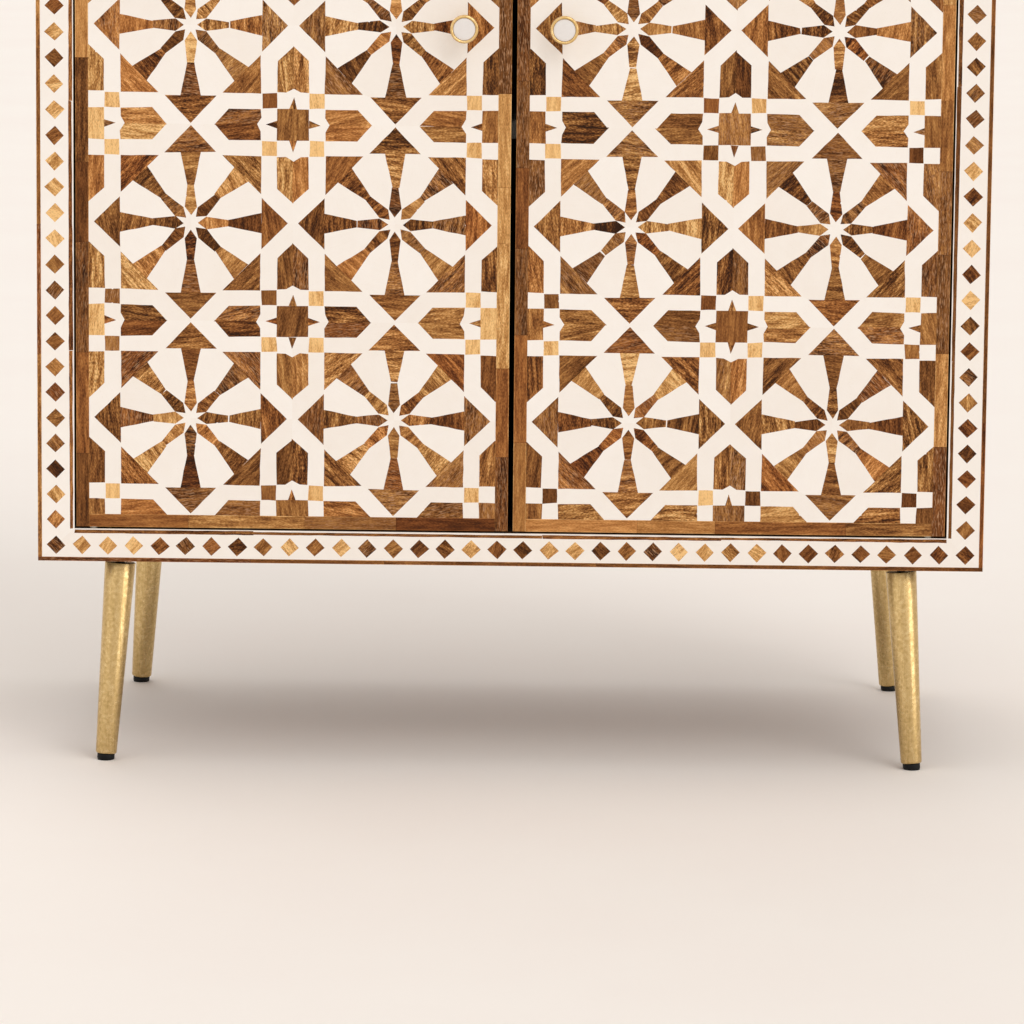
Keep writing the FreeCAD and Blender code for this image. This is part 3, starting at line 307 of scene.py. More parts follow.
@dataclass(frozen=True)
class PlanedBoard(Finish):
    """A planed board with oil or stain: long grain with wide growth bands and a low sheen."""

    tones: tuple[tuple[float, str], ...]
    run: Run
    band_mm: float = 11.0
    fibre_mm: float = 1.6
    # Length of the bands, and of the fibres as a share of it
    length_mm: float = 260.0
    fibre_share: float = 0.35
    band_wave: float = 1.2
    fibre_wave: float = 0.1
    fibre_depth: float = 0.5
    matt: float = 0.55
    matt_swing: float = 0.08
    relief_mm: float = 0.08
    index: float = 1.48

    def draw(self, tree: bpy.types.NodeTree, shader: bpy.types.Node) -> None:
        """Draws the grain along the board.

        Args:
            tree: The material's node tree.
            shader: Its surface shader.
        """
        place = add_node(tree, "TexCoord").outputs["Object"]
        noises = []
        for across, share, wave in ((self.band_mm, 1.0, self.band_wave),
                                    (self.fibre_mm, self.fibre_share, self.fibre_wave)):
            scale = [1 / (across * MM)] * 3
            scale[self.run.value] = 1 / (self.length_mm * share * MM)
            spread = add_node(tree, "Mapping", {"Vector": place, "Scale": scale})
            noises.append(add_node(tree, "TexNoise", {
                "Vector": spread.outputs[0], "Scale": 1.0, "Detail": 3.0, "Distortion": wave}).outputs["Fac"])
        band, fibre = noises
        mixed = add_node(tree, "Math", {0: fibre, 1: self.fibre_depth, 2: -self.fibre_depth / 2},
                         operation="MULTIPLY_ADD")
        figure = add_node(tree, "Math", {0: band, 1: mixed.outputs[0]}, operation="ADD")
        colour = add_node(tree, "ValToRGB", {"Fac": figure.outputs[0]}, stops=self.tones)
        gloss = add_node(tree, "MapRange", {
            "Value": fibre, "From Min": NOISE_LOW, "From Max": NOISE_HIGH,
            "To Min": self.matt - self.matt_swing, "To Max": self.matt + self.matt_swing})
        relief = add_node(tree, "Bump", {"Height": fibre, "Strength": 0.25, "Distance": self.relief_mm * MM})
        shader.inputs["IOR"].default_value = self.index
        tree.links.new(colour.outputs[0], shader.inputs["Base Color"])
        tree.links.new(gloss.outputs[0], shader.inputs["Roughness"])
        tree.links.new(relief.outputs[0], shader.inputs["Normal"])


@dataclass(frozen=True)
class WorkedMetal(Finish):
    """A metal with a worked surface: clouds of patina over a bright colour, and fine marks along one way."""

    tones: tuple[tuple[float, str], ...]
    rough: Point
    cloud_mm: float
    mark_mm: tuple[float, float, float]
    relief_mm: float = 0.02
    mark_depth: float = 0.45

    def draw(self, tree: bpy.types.NodeTree, shader: bpy.types.Node) -> None:
        """Draws patina, marks and uneven gloss.

        Args:
            tree: The material's node tree.
            shader: Its surface shader.
        """
        place = add_node(tree, "TexCoord").outputs["Object"]
        cloud = add_node(tree, "TexNoise", {"Vector": place, "Scale": 1 / (self.cloud_mm * MM), "Detail": 5.0,
                                            "Roughness": 0.6})
        spread = add_node(tree, "Mapping", {"Vector": place, "Scale": [1 / (size * MM) for size in self.mark_mm]})
        mark = add_node(tree, "TexNoise", {"Vector": spread.outputs[0], "Scale": 1.0, "Detail": 3.0})
        mixed = add_node(tree, "Math", {0: mark.outputs["Fac"], 1: self.mark_depth, 2: -self.mark_depth / 2},
                         operation="MULTIPLY_ADD")
        worn = add_node(tree, "Math", {0: cloud.outputs["Fac"], 1: mixed.outputs[0]}, operation="ADD")
        colour = add_node(tree, "ValToRGB", {"Fac": worn.outputs[0]}, stops=self.tones)
        gloss = add_node(tree, "MapRange", {
            "Value": worn.outputs[0], "From Min": NOISE_LOW, "From Max": NOISE_HIGH,
            "To Min": self.rough[1], "To Max": self.rough[0]})
        relief = add_node(tree, "Bump", {"Height": mark.outputs["Fac"], "Strength": 0.35,
                                         "Distance": self.relief_mm * MM})
        shader.inputs["Metallic"].default_value = 1.0
        tree.links.new(colour.outputs[0], shader.inputs["Base Color"])
        tree.links.new(gloss.outputs[0], shader.inputs["Roughness"])
        tree.links.new(relief.outputs[0], shader.inputs["Normal"])


@dataclass(frozen=True)
class FineSkin(Finish):
    """A moulded or coated skin: one colour with faint clouds and a fine even texture."""

    deep: str
    light: str
    grit_mm: float
    rough: float
    index: float = 1.5
    relief_mm: float = 0.04
    # How many grits wide a cloud is, and where in its noise the two colours lie
    cloud_grits: float = 24.0
    cloud_span: Point = (0.35, 0.65)
    rough_swing: float = 0.06

    def draw(self, tree: bpy.types.NodeTree, shader: bpy.types.Node) -> None:
        """Draws clouds in the colour and the fine texture.

        Args:
            tree: The material's node tree.
            shader: Its surface shader.
        """
        place = add_node(tree, "TexCoord").outputs["Object"]
        cloud = add_node(tree, "TexNoise", {"Vector": place, "Scale": 1 / (self.cloud_grits * self.grit_mm * MM),
                                            "Detail": 3.0})
        grit = add_node(tree, "TexNoise", {"Vector": place, "Scale": 1 / (self.grit_mm * MM), "Detail": 2.0})
        colour = add_node(tree, "ValToRGB", {"Fac": cloud.outputs["Fac"]},
                          stops=tuple(zip(self.cloud_span, (self.deep, self.light))))
        gloss = add_node(tree, "MapRange", {
            "Value": grit.outputs["Fac"], "From Min": NOISE_LOW, "From Max": NOISE_HIGH,
            "To Min": self.rough - self.rough_swing, "To Max": self.rough + self.rough_swing})
        relief = add_node(tree, "Bump", {"Height": grit.outputs["Fac"], "Strength": 0.3,
                                         "Distance": self.relief_mm * MM})
        shader.inputs["IOR"].default_value = self.index
        tree.links.new(colour.outputs[0], shader.inputs["Base Color"])
        tree.links.new(gloss.outputs[0], shader.inputs["Roughness"])
        tree.links.new(relief.outputs[0], shader.inputs["Normal"])


BONE = PolishedBone()
# Bone disc, turned and buffed: a cooler white with faint clouds
TURNED_BONE = PolishedBone("bone_disc_turned_buffed", "#eae5e1", "#dcd4ce", "#cfc3b4", mottle_mm=5.0)
OFFCUTS = InlayOffcuts()
# Mango boards, planed and oiled: warm mid brown with soft bands
OILED = ((0.25, "#4d3522"), (0.5, "#73543a"), (0.75, "#8d6b4b"))
OILED_UPRIGHT = PlanedBoard("mango_board_planed_oiled_upright", OILED, Run.UP)
OILED_LEVEL = PlanedBoard("mango_board_planed_oiled_level", OILED, Run.ACROSS)
# Shelf with a thin grey stain: the grain shows through a cool beige. The tones are painted paler than the stain as
# painted light, so that its edge looks lit inside the shaded case
GREY_SHELF_PAINTED_LIGHT = PlanedBoard("mango_shelf_planed_grey_stain_painted_light", (
    (0.25, "#958c82"), (0.5, "#b3aaa1"), (0.75, "#c5beb5")), Run.ACROSS, matt=0.6)
# Stained plywood: even rotary-cut veneer with long wide bands
PLYWOOD = PlanedBoard("plywood_back_stained", (
    (0.25, "#5a4029"), (0.5, "#6f5137"), (0.75, "#80603f")), Run.ACROSS, band_mm=26.0, fibre_mm=2.2, matt=0.62)
# Beech, turned: pale and close-grained
BEECH = PlanedBoard("beech_dowel_turned", (
    (0.25, "#b58f63"), (0.5, "#c9a578"), (0.75, "#d6b68b")), Run.ACROSS, band_mm=4.0, fibre_mm=0.9)
# Brass tube, drawn, antiqued and lacquered satin: soft gold with faint brown clouds and long fine streaks
ANTIQUE_BRASS = WorkedMetal("brass_tube_drawn_antiqued", (
    (0.25, "#ad925d"), (0.5, "#c7aa75"), (0.75, "#dac18f")), (0.24, 0.34), 3.5, (1.2, 1.2, 90.0), 0.01)
# Brass, turned and hand-polished: clear gold with a tighter gloss
TURNED_BRASS = WorkedMetal("brass_knob_turned_polished", (
    (0.25, "#c4a468"), (0.5, "#e0be82"), (0.75, "#ecd2a0")), (0.22, 0.36), 7.0, (6.0, 0.7, 6.0), 0.01)
# Brass strip, milled: plain and a little dull
MILLED_BRASS = WorkedMetal("brass_strip_milled", (
    (0.25, "#8b6f3c"), (0.5, "#b39559"), (0.75, "#cbae72")), (0.30, 0.42), 9.0, (12.0, 0.6, 12.0))
# Steel, zinc plated: cool grey with a fine bright spangle
ZINC = WorkedMetal("steel_screw_zinc_plated", (
    (0.25, "#8d9093"), (0.5, "#b4b7b9"), (0.75, "#cfd1d1")), (0.28, 0.42), 4.0, (1.2, 1.2, 1.2))
# Ferrite, pressed and ground: dull near-black with grinding lines
FERRITE = WorkedMetal("ferrite_magnet_ground", (
    (0.25, "#262628"), (0.5, "#37383a"), (0.75, "#47484a")), (0.45, 0.60), 5.0, (0.6, 8.0, 0.6))
# Steel with a black powder coat: fine orange-peel, low sheen
POWDER_BLACK = FineSkin("steel_plate_black_powder_coat", "#141414", "#232322", 0.9, 0.5)
# Polyethylene, moulded: deep black with a soft, weak sheen
MOULDED_BLACK = FineSkin("polyethylene_glide_moulded_black", "#060606", "#0f0f0e", 0.5, 0.55, 1.3)
# Nylon, moulded and undyed: milky white with a smooth skin
NYLON = FineSkin("nylon_washer_moulded_natural", "#d2cdc0", "#e3dfd5", 0.6, 0.4, 1.53)
# Matt floor paint: pale warm white with the faintest clouds
FLOOR_PAINT = FineSkin("floor_matt_paint_pale", "#f9f0e8", "#faf2ea", 14.0, 0.7, 1.3, 0.03)


# Shared mesh work


@dataclass(frozen=True)
class Plane:
    """The plane of a face: a place in metres, and the two ways in which its outlines run."""

    origin: Vector
    across: Vector
    up: Vector

    def point(self, x: float, y: float, out: float = 0.0) -> Vector:
        """Gives a point of the frame from millimetres across, up and out of the face."""
        return self.origin + (self.across * x + self.up * y + self.across.cross(self.up) * out) * MM

    def flat(self, place: Vector) -> Point:
        """Gives a point's millimetres across and up the face."""
        return (place - self.origin).dot(self.across) / MM, (place - self.origin).dot(self.up) / MM


def front_plane(low: Vector, high: Vector) -> Plane:
    """Gives the plane of the front of a box, with its place in the middle."""
    return Plane(Vector(((low.x + high.x) / 2, low.y, (low.z + high.z) / 2)), Vector((1, 0, 0)), Vector((0, 0, 1)))


def settle(mesh: bmesh.types.BMesh, name: str, finish: Finish, body: str, nodes: Iterable[str]) -> None:
    """Turns a built mesh to a piece of the cabinet, with its finish, body and nodes.

    Args:
        mesh: The built mesh, freed here.
        name: The piece's name.
        finish: Its finish.
        body: The CAD body that it moves with.
        nodes: The CAD nodes that it stands for.
    """
    data = bpy.data.meshes.new(name)
    mesh.to_mesh(data)
    mesh.free()
    data.materials.append(finish.material())
    piece = bpy.data.objects.new(name, data)
    bpy.context.scene.collection.objects.link(piece)
    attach(piece, body)
    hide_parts(*nodes)
    log.info("%s on %s: %d faces, %s", name, body, len(data.polygons), finish.name)


def lathe(mesh: bmesh.types.BMesh, profile: Sequence[Point], stand: Matrix, sides: int) -> list[bmesh.types.BMFace]:
    """Turns a profile round the Z axis of a placement, smooth but for its sharp corners.

    Args:
        mesh: The mesh that takes the faces.
        profile: Radius and height in millimetres, from one end on the axis to the other.
        stand: The placement, in metres.
        sides: Faces round the axis.

    Returns:
        The new faces.
    """
    rings = []
    for radius, height in profile:
        count = sides if radius > 0 else 1
        rings.append([mesh.verts.new(stand @ (Vector((radius * math.cos(k * math.tau / sides),
                                                      radius * math.sin(k * math.tau / sides), height)) * MM))
                      for k in range(count)])
    faces = []
    for low, high in zip(rings, rings[1:]):
        for k in range(sides):
            after = (k + 1) % sides
            corners = [low[k % len(low)], low[after % len(low)], high[after % len(high)], high[k % len(high)]]
            faces.append(mesh.faces.new(list(dict.fromkeys(corners))))
    for face in faces:
        face.smooth = True
    mesh.normal_update()
    for edge in {edge for face in faces for edge in face.edges}:
        edge.smooth = edge.calc_face_angle(0.0) < SHARP
    return faces


@dataclass
class Partition:
    """A face cut into the triangles of its ground tiles and of its wooden pieces."""

    points: list[Point]
    tiles: dict[int, list[Triangle]]
    pieces: dict[int, list[Triangle]]


def cut_apart(tiles: Sequence[Outline], pieces: Sequence[Outline]) -> Partition:
    """Cuts tiles by pieces. The first piece wins where two overlap, and the last tile.

    Args:
        tiles: Outlines of the ground, and nothing is kept outside them.
        pieces: Outlines let into the ground.

    Returns:
        The triangles of each, on shared points.
    """
    corners, faces = [], []
    for outline in [*tiles, *pieces]:
        turn = sum(a[0] * b[1] - b[0] * a[1] for a, b in zip(outline, outline[1:] + outline[:1]))
        faces.append(list(range(len(corners), len(corners) + len(outline))))
        corners += [Vector(point) for point in (outline if turn > 0 else outline[::-1])]
    points, _, triangles, _, _, owners = delaunay_2d_cdt(corners, [], faces, KEEP_INSIDE, SAME_POINT_MM)
    result = Partition([(point.x, point.y) for point in points], {}, {})
    for triangle, found in zip(triangles, owners):
        ground = [owner for owner in found if owner < len(tiles)]
        wood = [owner - len(tiles) for owner in found if owner >= len(tiles)]
        if ground:
            members = result.pieces.setdefault(min(wood), []) if wood else result.tiles.setdefault(max(ground), [])
            members.append(tuple(triangle))
    return result


# The inlay


class Kind(Enum):
    """The sorts of wooden piece, by their place in the pattern."""

    INNER_SPOKE = "inner spoke"
    OUTER_SPOKE = "outer spoke"
    ARROWHEAD = "arrowhead"
    TRIANGLE = "triangle"
    HOUSE = "house"
    MATE = "other half of a house"
    SQUARE = "square"
    SPIKE = "spike"
    CHECK = "check"
    LOZENGE = "lozenge"
    BEAD = "bead"
    STRIP = "door strip"
    EDGING = "case edging"


# Offcut tones of each sort as chance, middle and spread, from 0 for the darkest walnut to 1 for pale maple
TONES: dict[Kind, tuple[tuple[float, float, float], ...]] = {
    Kind.INNER_SPOKE: ((0.55, 0.32, 0.08), (0.30, 0.54, 0.07), (0.15, 0.70, 0.06)),
    Kind.OUTER_SPOKE: ((0.52, 0.33, 0.07), (0.31, 0.53, 0.06), (0.17, 0.68, 0.06)),
    Kind.ARROWHEAD: ((1.0, 0.42, 0.065),),
    Kind.TRIANGLE: ((0.82, 0.44, 0.05), (0.18, 0.67, 0.06)),
    Kind.HOUSE: ((0.45, 0.36, 0.05), (0.35, 0.48, 0.06), (0.20, 0.64, 0.05)),
    Kind.SQUARE: ((0.90, 0.47, 0.05), (0.10, 0.94, 0.04)),
    Kind.SPIKE: ((0.60, 0.36, 0.07), (0.40, 0.52, 0.07)),
    Kind.CHECK: ((0.60, 0.96, 0.04), (0.40, 0.40, 0.09)),
    Kind.LOZENGE: ((0.42, 0.29, 0.06), (0.26, 0.50, 0.07), (0.32, 0.84, 0.07)),
    Kind.BEAD: ((1.0, 0.38, 0.06),),
    Kind.STRIP: ((0.42, 0.29, 0.06), (0.33, 0.46, 0.06), (0.25, 0.68, 0.06)),
    Kind.EDGING: ((0.75, 0.32, 0.05), (0.25, 0.50, 0.05)),
}
# Sorts that are cut from calmer wood, by the share of the usual figure
CALM: dict[Kind, float] = {Kind.CHECK: 0.45, Kind.SQUARE: 0.65, Kind.LOZENGE: 0.75, Kind.BEAD: 0.6, Kind.STRIP: 0.6,
                           Kind.EDGING: 0.6}


@dataclass(frozen=True)
class Piece:
    """A wooden piece as drawn, before it is cut by hand."""

    outline: Outline
    kind: Kind
    grain: float


@dataclass(frozen=True)
class Offcut:
    """The wood that a piece is cut from: tone, red cast, caught dust, strength of figure, place in the grain (m)."""

    tone: float
    rust: float = 0.0
    dust: float = 0.0
    figure: float = 1.0
    shift: Point = (0.0, 0.0)


@dataclass
class Bench:
    """The bench where pieces are cut by hand: seeded slips of the saw, in millimetres, and choice of offcuts."""

    seed: int
    corner_slip: float = 0.30
    saw_wander: float = 0.11
    saw_run: float = 9.0
    nick_chance: float = 0.06
    nick: Point = (2.4, 0.9)
    nick_depths: Point = (0.5, 1.0)
    grain_slip: float = 0.10
    # Red cast of the darker woods: middle, spread, limit, and the tone from which there is none
    rust: Point = (0.10, 0.18)
    rust_limit: float = 0.5
    rust_below: float = 0.7
    # Dust caught by some of the darkest: least and most, the chance of it, and the tone from which there is none
    dust: Point = (0.35, 0.8)
    dust_chance: float = 0.3
    dust_below: float = 0.55
    # Strength of figure, how far the halves of a house differ in tone, and metres of plank to cut from
    figure: Point = (0.7, 1.3)
    mate_spread: float = 0.07
    plank: float = 9.0
    chance: random.Random = field(init=False)

    def __post_init__(self) -> None:
        """Seeds the bench."""
        self.chance = random.Random(self.seed)

    def cut(self, outline: Outline) -> Outline:
        """Cuts an outline by hand, with slipped corners, wandering edges and a rare nick.

        Args:
            outline: The outline as drawn.

        Returns:
            The outline as cut.
        """
        slipped = [(x + self.chance.gauss(0, self.corner_slip), y + self.chance.gauss(0, self.corner_slip))
                   for x, y in outline]
        result = []
        for (ax, ay), (bx, by) in zip(slipped, slipped[1:] + slipped[:1]):
            length = math.dist((ax, ay), (bx, by))
            nx, ny = (ay - by) / length, (bx - ax) / length
            result.append((ax, ay))
            steps = max(1, round(length / self.saw_run))
            for step in range(1, steps):
                wander = self.chance.gauss(0, self.saw_wander)
                share = step / steps
                result.append((ax + (bx - ax) * share + nx * wander, ay + (by - ay) * share + ny * wander))
            if steps == 2 and self.chance.random() < self.nick_chance:
                x, y = result.pop()
                half, deep = self.nick[0] / 2, self.nick[1] * self.chance.uniform(*self.nick_depths)
                ux, uy = ny * half, -nx * half
                result += [(x - ux, y - uy), (x + nx * deep, y + ny * deep), (x + ux, y + uy)]
        return result

    def offcut(self, kind: Kind, last: Offcut) -> Offcut:
        """Picks a piece of wood for a sort of piece.

        Args:
            kind: The sort of piece.
            last: The piece of wood before it, which the other half of a house comes from too.

        Returns:
            The offcut.
        """
        mixes = TONES[kind] if kind is not Kind.MATE else ((1.0, last.tone, self.mate_spread),)
        middle, spread = self.chance.choices([m[1:] for m in mixes], [m[0] for m in mixes])[0]
        tone = min(1.0, max(0.0, self.chance.gauss(middle, spread)))
        rust = max(0.0, self.chance.gauss(*self.rust)) if tone < self.rust_below else 0.0
        dusty = tone < self.dust_below and self.chance.random() < self.dust_chance
        dust = self.chance.uniform(*self.dust) if dusty else 0.0
        figure = CALM.get(kind, 1.0) * self.chance.uniform(*self.figure)
        return Offcut(tone, min(rust, self.rust_limit), dust, figure, self.spot())

    def shade(self) -> Offcut:
        """Picks the warmth of a bone tile."""
        return Offcut(self.chance.uniform(0.0, 1.0), shift=self.spot())

    def spot(self) -> Point:
        """Picks the place in a plank that a piece is cut from."""
        return self.chance.uniform(0, self.plank), self.chance.uniform(0, self.plank)

    def lean(self) -> float:
        """Picks how far a piece's grain is off its line."""
        return self.chance.gauss(0, self.grain_slip)


def polar(centre: Point, angle: float, along: float, across: float = 0.0) -> Point:
    """Gives a point along and across a direction from a centre."""
    c, s = math.cos(angle), math.sin(angle)
    return centre[0] + along * c - across * s, centre[1] + along * s + across * c


def rectangle(low: Point, high: Point) -> Outline:
    """Gives the four corners of a rectangle."""
    return [low, (high[0], low[1]), high, (low[0], high[1])]


def long_axis(low: Point, high: Point) -> int:
    """Tells whether a rectangle is longer across (0) or up (1)."""
    return 0 if high[0] - low[0] > high[1] - low[1] else 1


def along_side(axis: int, side: int, near: float, far: float, reach: float) -> tuple[Point, Point]:
    """Gives the corners of a run along one side of a face.

    Args:
        axis: 0 for a side that stands, 1 for a level one.
        side: -1 for the lower of the two, 1 for the higher.
        near: Where the run starts, from the middle of the face.
        far: Where it ends.
        reach: Half its length.

    Returns:
        Its lowest and its highest corner.
    """
    (start, stop), (low, high) = sorted((side * near, side * far)), (-reach, reach)
    return ((start, low), (stop, high)) if axis == 0 else ((low, start), (high, stop))


def trim(outline: Outline, low: Point, high: Point) -> Outline:
    """Cuts off what lies outside a rectangle.

    Args:
        outline: The outline of a piece, with no inward corner.
        low: The rectangle's lowest corner.
        high: Its highest corner.

    Returns:
        What is left, and nothing where the piece lies outside.
    """
    for axis, limit, side in ((0, low[0], 1), (0, high[0], -1), (1, low[1], 1), (1, high[1], -1)):
        kept = []
        for a, b in zip(outline, outline[1:] + outline[:1]):
            a_in, b_in = side * (a[axis] - limit) > 0, side * (b[axis] - limit) > 0
            if a_in:
                kept.append(a)
            if a_in != b_in:
                share = (limit - a[axis]) / (b[axis] - a[axis])
                kept.append((a[0] + (b[0] - a[0]) * share, a[1] + (b[1] - a[1]) * share))
        outline = kept
    return outline


@dataclass(frozen=True)
class StarPattern:
    """The eight-spoked star and what lies between the stars, as shares of the shorter cell pitch."""

    tip: float = 0.0356
    wide: Point = (0.0788, 0.0308)
    waist: Point = (0.191, 0.0168)
    tail_half: float = 0.0518
    head: tuple[float, float, float] = (0.3582, 0.1305, 0.4915)
    square: float = 0.0806
    spike: Point = (0.0584, 0.0203)
    check: Point = (0.0822, 0.1575)
    corner: Point = (0.1626, 0.1575)
    corner_leg: float = 0.1921
    house_half: float = 0.0793
    house: tuple[float, float, float] = (0.1626, 0.3244, 0.399)
    notch: Point = (0.0224, 0.0366)
    # Pieces that abut are drawn with a lap, and a few spokes are cut short at the waist
    lap_mm: float = 0.4
    open_waist_mm: float = 0.9
    open_waist_chance: float = 0.10
    # Pieces at the field's edge run this far under the bead or strip round it
    under_mm: float = 1.0

    def star(self, centre: Point, half: Point, unit: float, bench: Bench) -> list[Piece]:
        """Draws four arrowheads and eight spokes of two pieces.

        Args:
            centre: The middle of the cell.
            half: Half the cell across and up.
            unit: The shorter cell pitch.
            bench: The bench, which leaves some waists open.

        Returns:
            The pieces, arrowheads first, because spokes run under them.
        """
        slope = (sum(half) - (sum(self.corner) + self.corner_leg) * unit) / math.sqrt(2)
        base, base_half, point = (share * unit for share in self.head)
        heads, spokes = [], []
        for number in range(8):
            facing = number * math.pi / 4
            # Spokes between the arrowheads run to the corners of the cell
            angle = facing if number % 2 == 0 else math.atan2(half[1] * math.sin(facing), half[0] * math.cos(facing))
            end = (base if number % 2 == 0 else slope) + self.lap_mm
            gap = self.open_waist_mm if bench.chance.random() < self.open_waist_chance else -self.lap_mm
            waist, waist_half = self.waist[0] * unit, self.waist[1] * unit
            wide, wide_half = self.wide[0] * unit, self.wide[1] * unit
            inner = [(self.tip * unit, 0.0), (wide, -wide_half), (waist, -waist_half), (waist, waist_half),
                     (wide, wide_half)]
            outer = [(waist + gap, -waist_half), (end, -self.tail_half * unit), (end, self.tail_half * unit),
                     (waist + gap, waist_half)]
            grain = angle + math.pi / 2
            spokes += [Piece([polar(centre, angle, *p) for p in inner], Kind.INNER_SPOKE, grain),
                       Piece([polar(centre, angle, *p) for p in outer], Kind.OUTER_SPOKE, grain)]
            if number % 2 == 0:
                head = [(base, -base_half), (point, 0.0), (base, base_half)]
                heads.append(Piece([polar(centre, angle, *p) for p in head], Kind.ARROWHEAD, grain))
        return heads + spokes

    def crossing(self, centre: Point, unit: float, along_edge: set[int]) -> list[Piece]:
        """Draws what stands round a corner of the cells: a spiked square, checks, triangles and split houses.

        Args:
            centre: The corner of the cells.
            unit: The shorter cell pitch.
            along_edge: Ways that lie on the field's edge, 0 across and 1 up, where houses and square are plain.

        Returns:
            The pieces.
        """
        half, (reach, spike_half) = self.square * unit, (share * unit for share in self.spike)
        found = [Piece([polar(centre, k * math.pi / 2, half, -half) for k in range(4)], Kind.SQUARE, math.pi / 2)]
        near, far = (share * unit for share in self.check)
        corner_x, corner_y, leg = (share * unit for share in (*self.corner, self.corner_leg))
        foot, eaves, ridge = (share * unit for share in self.house)
        notch, notch_half = (share * unit for share in self.notch)
        wall, lap = self.house_half * unit, self.lap_mm
        for number in range(4):
            angle = number * math.pi / 2
            sx, sy = (math.copysign(1, way(angle + math.pi / 4)) for way in (math.cos, math.sin))
            found.append(Piece([(centre[0] + sx * x, centre[1] + sy * y) for x, y in (
                (corner_x, corner_y), (corner_x + leg, corner_y), (corner_x, corner_y + leg))],
                Kind.TRIANGLE, angle - math.pi / 4))
            shapes = [(Kind.CHECK, math.pi / 2, [(near, near), (far, near), (far, far), (near, far)])]
            if number % 2 in along_edge:
                house = [(foot, -wall), (eaves, -wall), (ridge, 0.0), (eaves, wall), (foot, wall)]
                shapes.append((Kind.HOUSE, angle, house))
            else:
                spike = [(half - lap, -spike_half), (half + reach, 0.0), (half - lap, spike_half)]
                house = [(foot + notch, -lap), (foot, notch_half), (foot, wall), (eaves, wall), (ridge, -lap)]
                shapes += [(Kind.SPIKE, angle, spike), (Kind.HOUSE, angle, house),
                           (Kind.MATE, angle, [(along, -across) for along, across in house])]
            found += [Piece([polar(centre, angle, *p) for p in shape], kind, grain) for kind, grain, shape in shapes]
        return found

    def petals(self, centre: Point, half: Point, unit: float) -> list[Outline]:
        """Draws the bone petals between the spokes.

        Args:
            centre: The middle of the cell.
            half: Half the cell across and up.
            unit: The shorter cell pitch.

        Returns:
            Eight outlines.
        """
        slope = (sum(half) - (sum(self.corner) + self.corner_leg) * unit) / 2
        base, base_half = self.head[0] * unit, self.head[1] * unit
        heart = polar((0.0, 0.0), math.pi / 8, self.tip * unit)
        x, y = half[0] - self.corner[0] * unit, half[1] - self.corner[1] * unit
        leg = self.corner_leg * unit
        level = [heart, (base, 0.0), (base, base_half), (x, y - leg), (slope, slope)]
        upright = [heart[::-1], (slope, slope), (x - leg, y), (base_half, base), (0.0, base)]
        return [[(centre[0] + sx * x, centre[1] + sy * y) for x, y in petal]
                for petal in (level, upright) for sx in (1, -1) for sy in (1, -1)]

    def field(self, low: Point, high: Point, cells: tuple[int, int],
              bench: Bench) -> tuple[list[Outline], list[Piece]]:
        """Draws a whole field of stars.

        Args:
            low: The field's lowest corner.
            high: Its highest corner.
            cells: How many stars there are across and up.
            bench: The bench that cuts the pieces.

        Returns:
            The ground's tiles and the wooden pieces.
        """
        pitch = [(h - l) / n for l, h, n in zip(low, high, cells)]
        unit, half = min(pitch), (pitch[0] / 2, pitch[1] / 2)
        tiles, pieces = [], []
        for column in range(cells[0]):
            for row in range(cells[1]):
                centre = low[0] + (column + 0.5) * pitch[0], low[1] + (row + 0.5) * pitch[1]
                tiles += [rectangle((min(centre[0], x), min(centre[1], y)), (max(centre[0], x), max(centre[1], y)))
                          for x in (centre[0] - half[0], centre[0] + half[0])
                          for y in (centre[1] - half[1], centre[1] + half[1])]
                tiles += self.petals(centre, half, unit)
        for column in range(cells[0] + 1):
            for row in range(cells[1] + 1):
                along_edge = {way for way, edge in enumerate((row in (0, cells[1]), column in (0, cells[0]))) if edge}
                pieces += self.crossing((low[0] + column * pitch[0], low[1] + row * pitch[1]), unit, along_edge)
        for column in range(cells[0]):
            for row in range(cells[1]):
                centre = low[0] + (column + 0.5) * pitch[0], low[1] + (row + 0.5) * pitch[1]
                pieces += self.star(centre, half, unit, bench)
        low, high = (tuple(value + way * self.under_mm for value in end) for end, way in ((low, -1), (high, 1)))
        cut = [replace(piece, outline=trim(piece.outline, low, high)) for piece in pieces]
        return tiles, [piece for piece in cut if piece.outline]


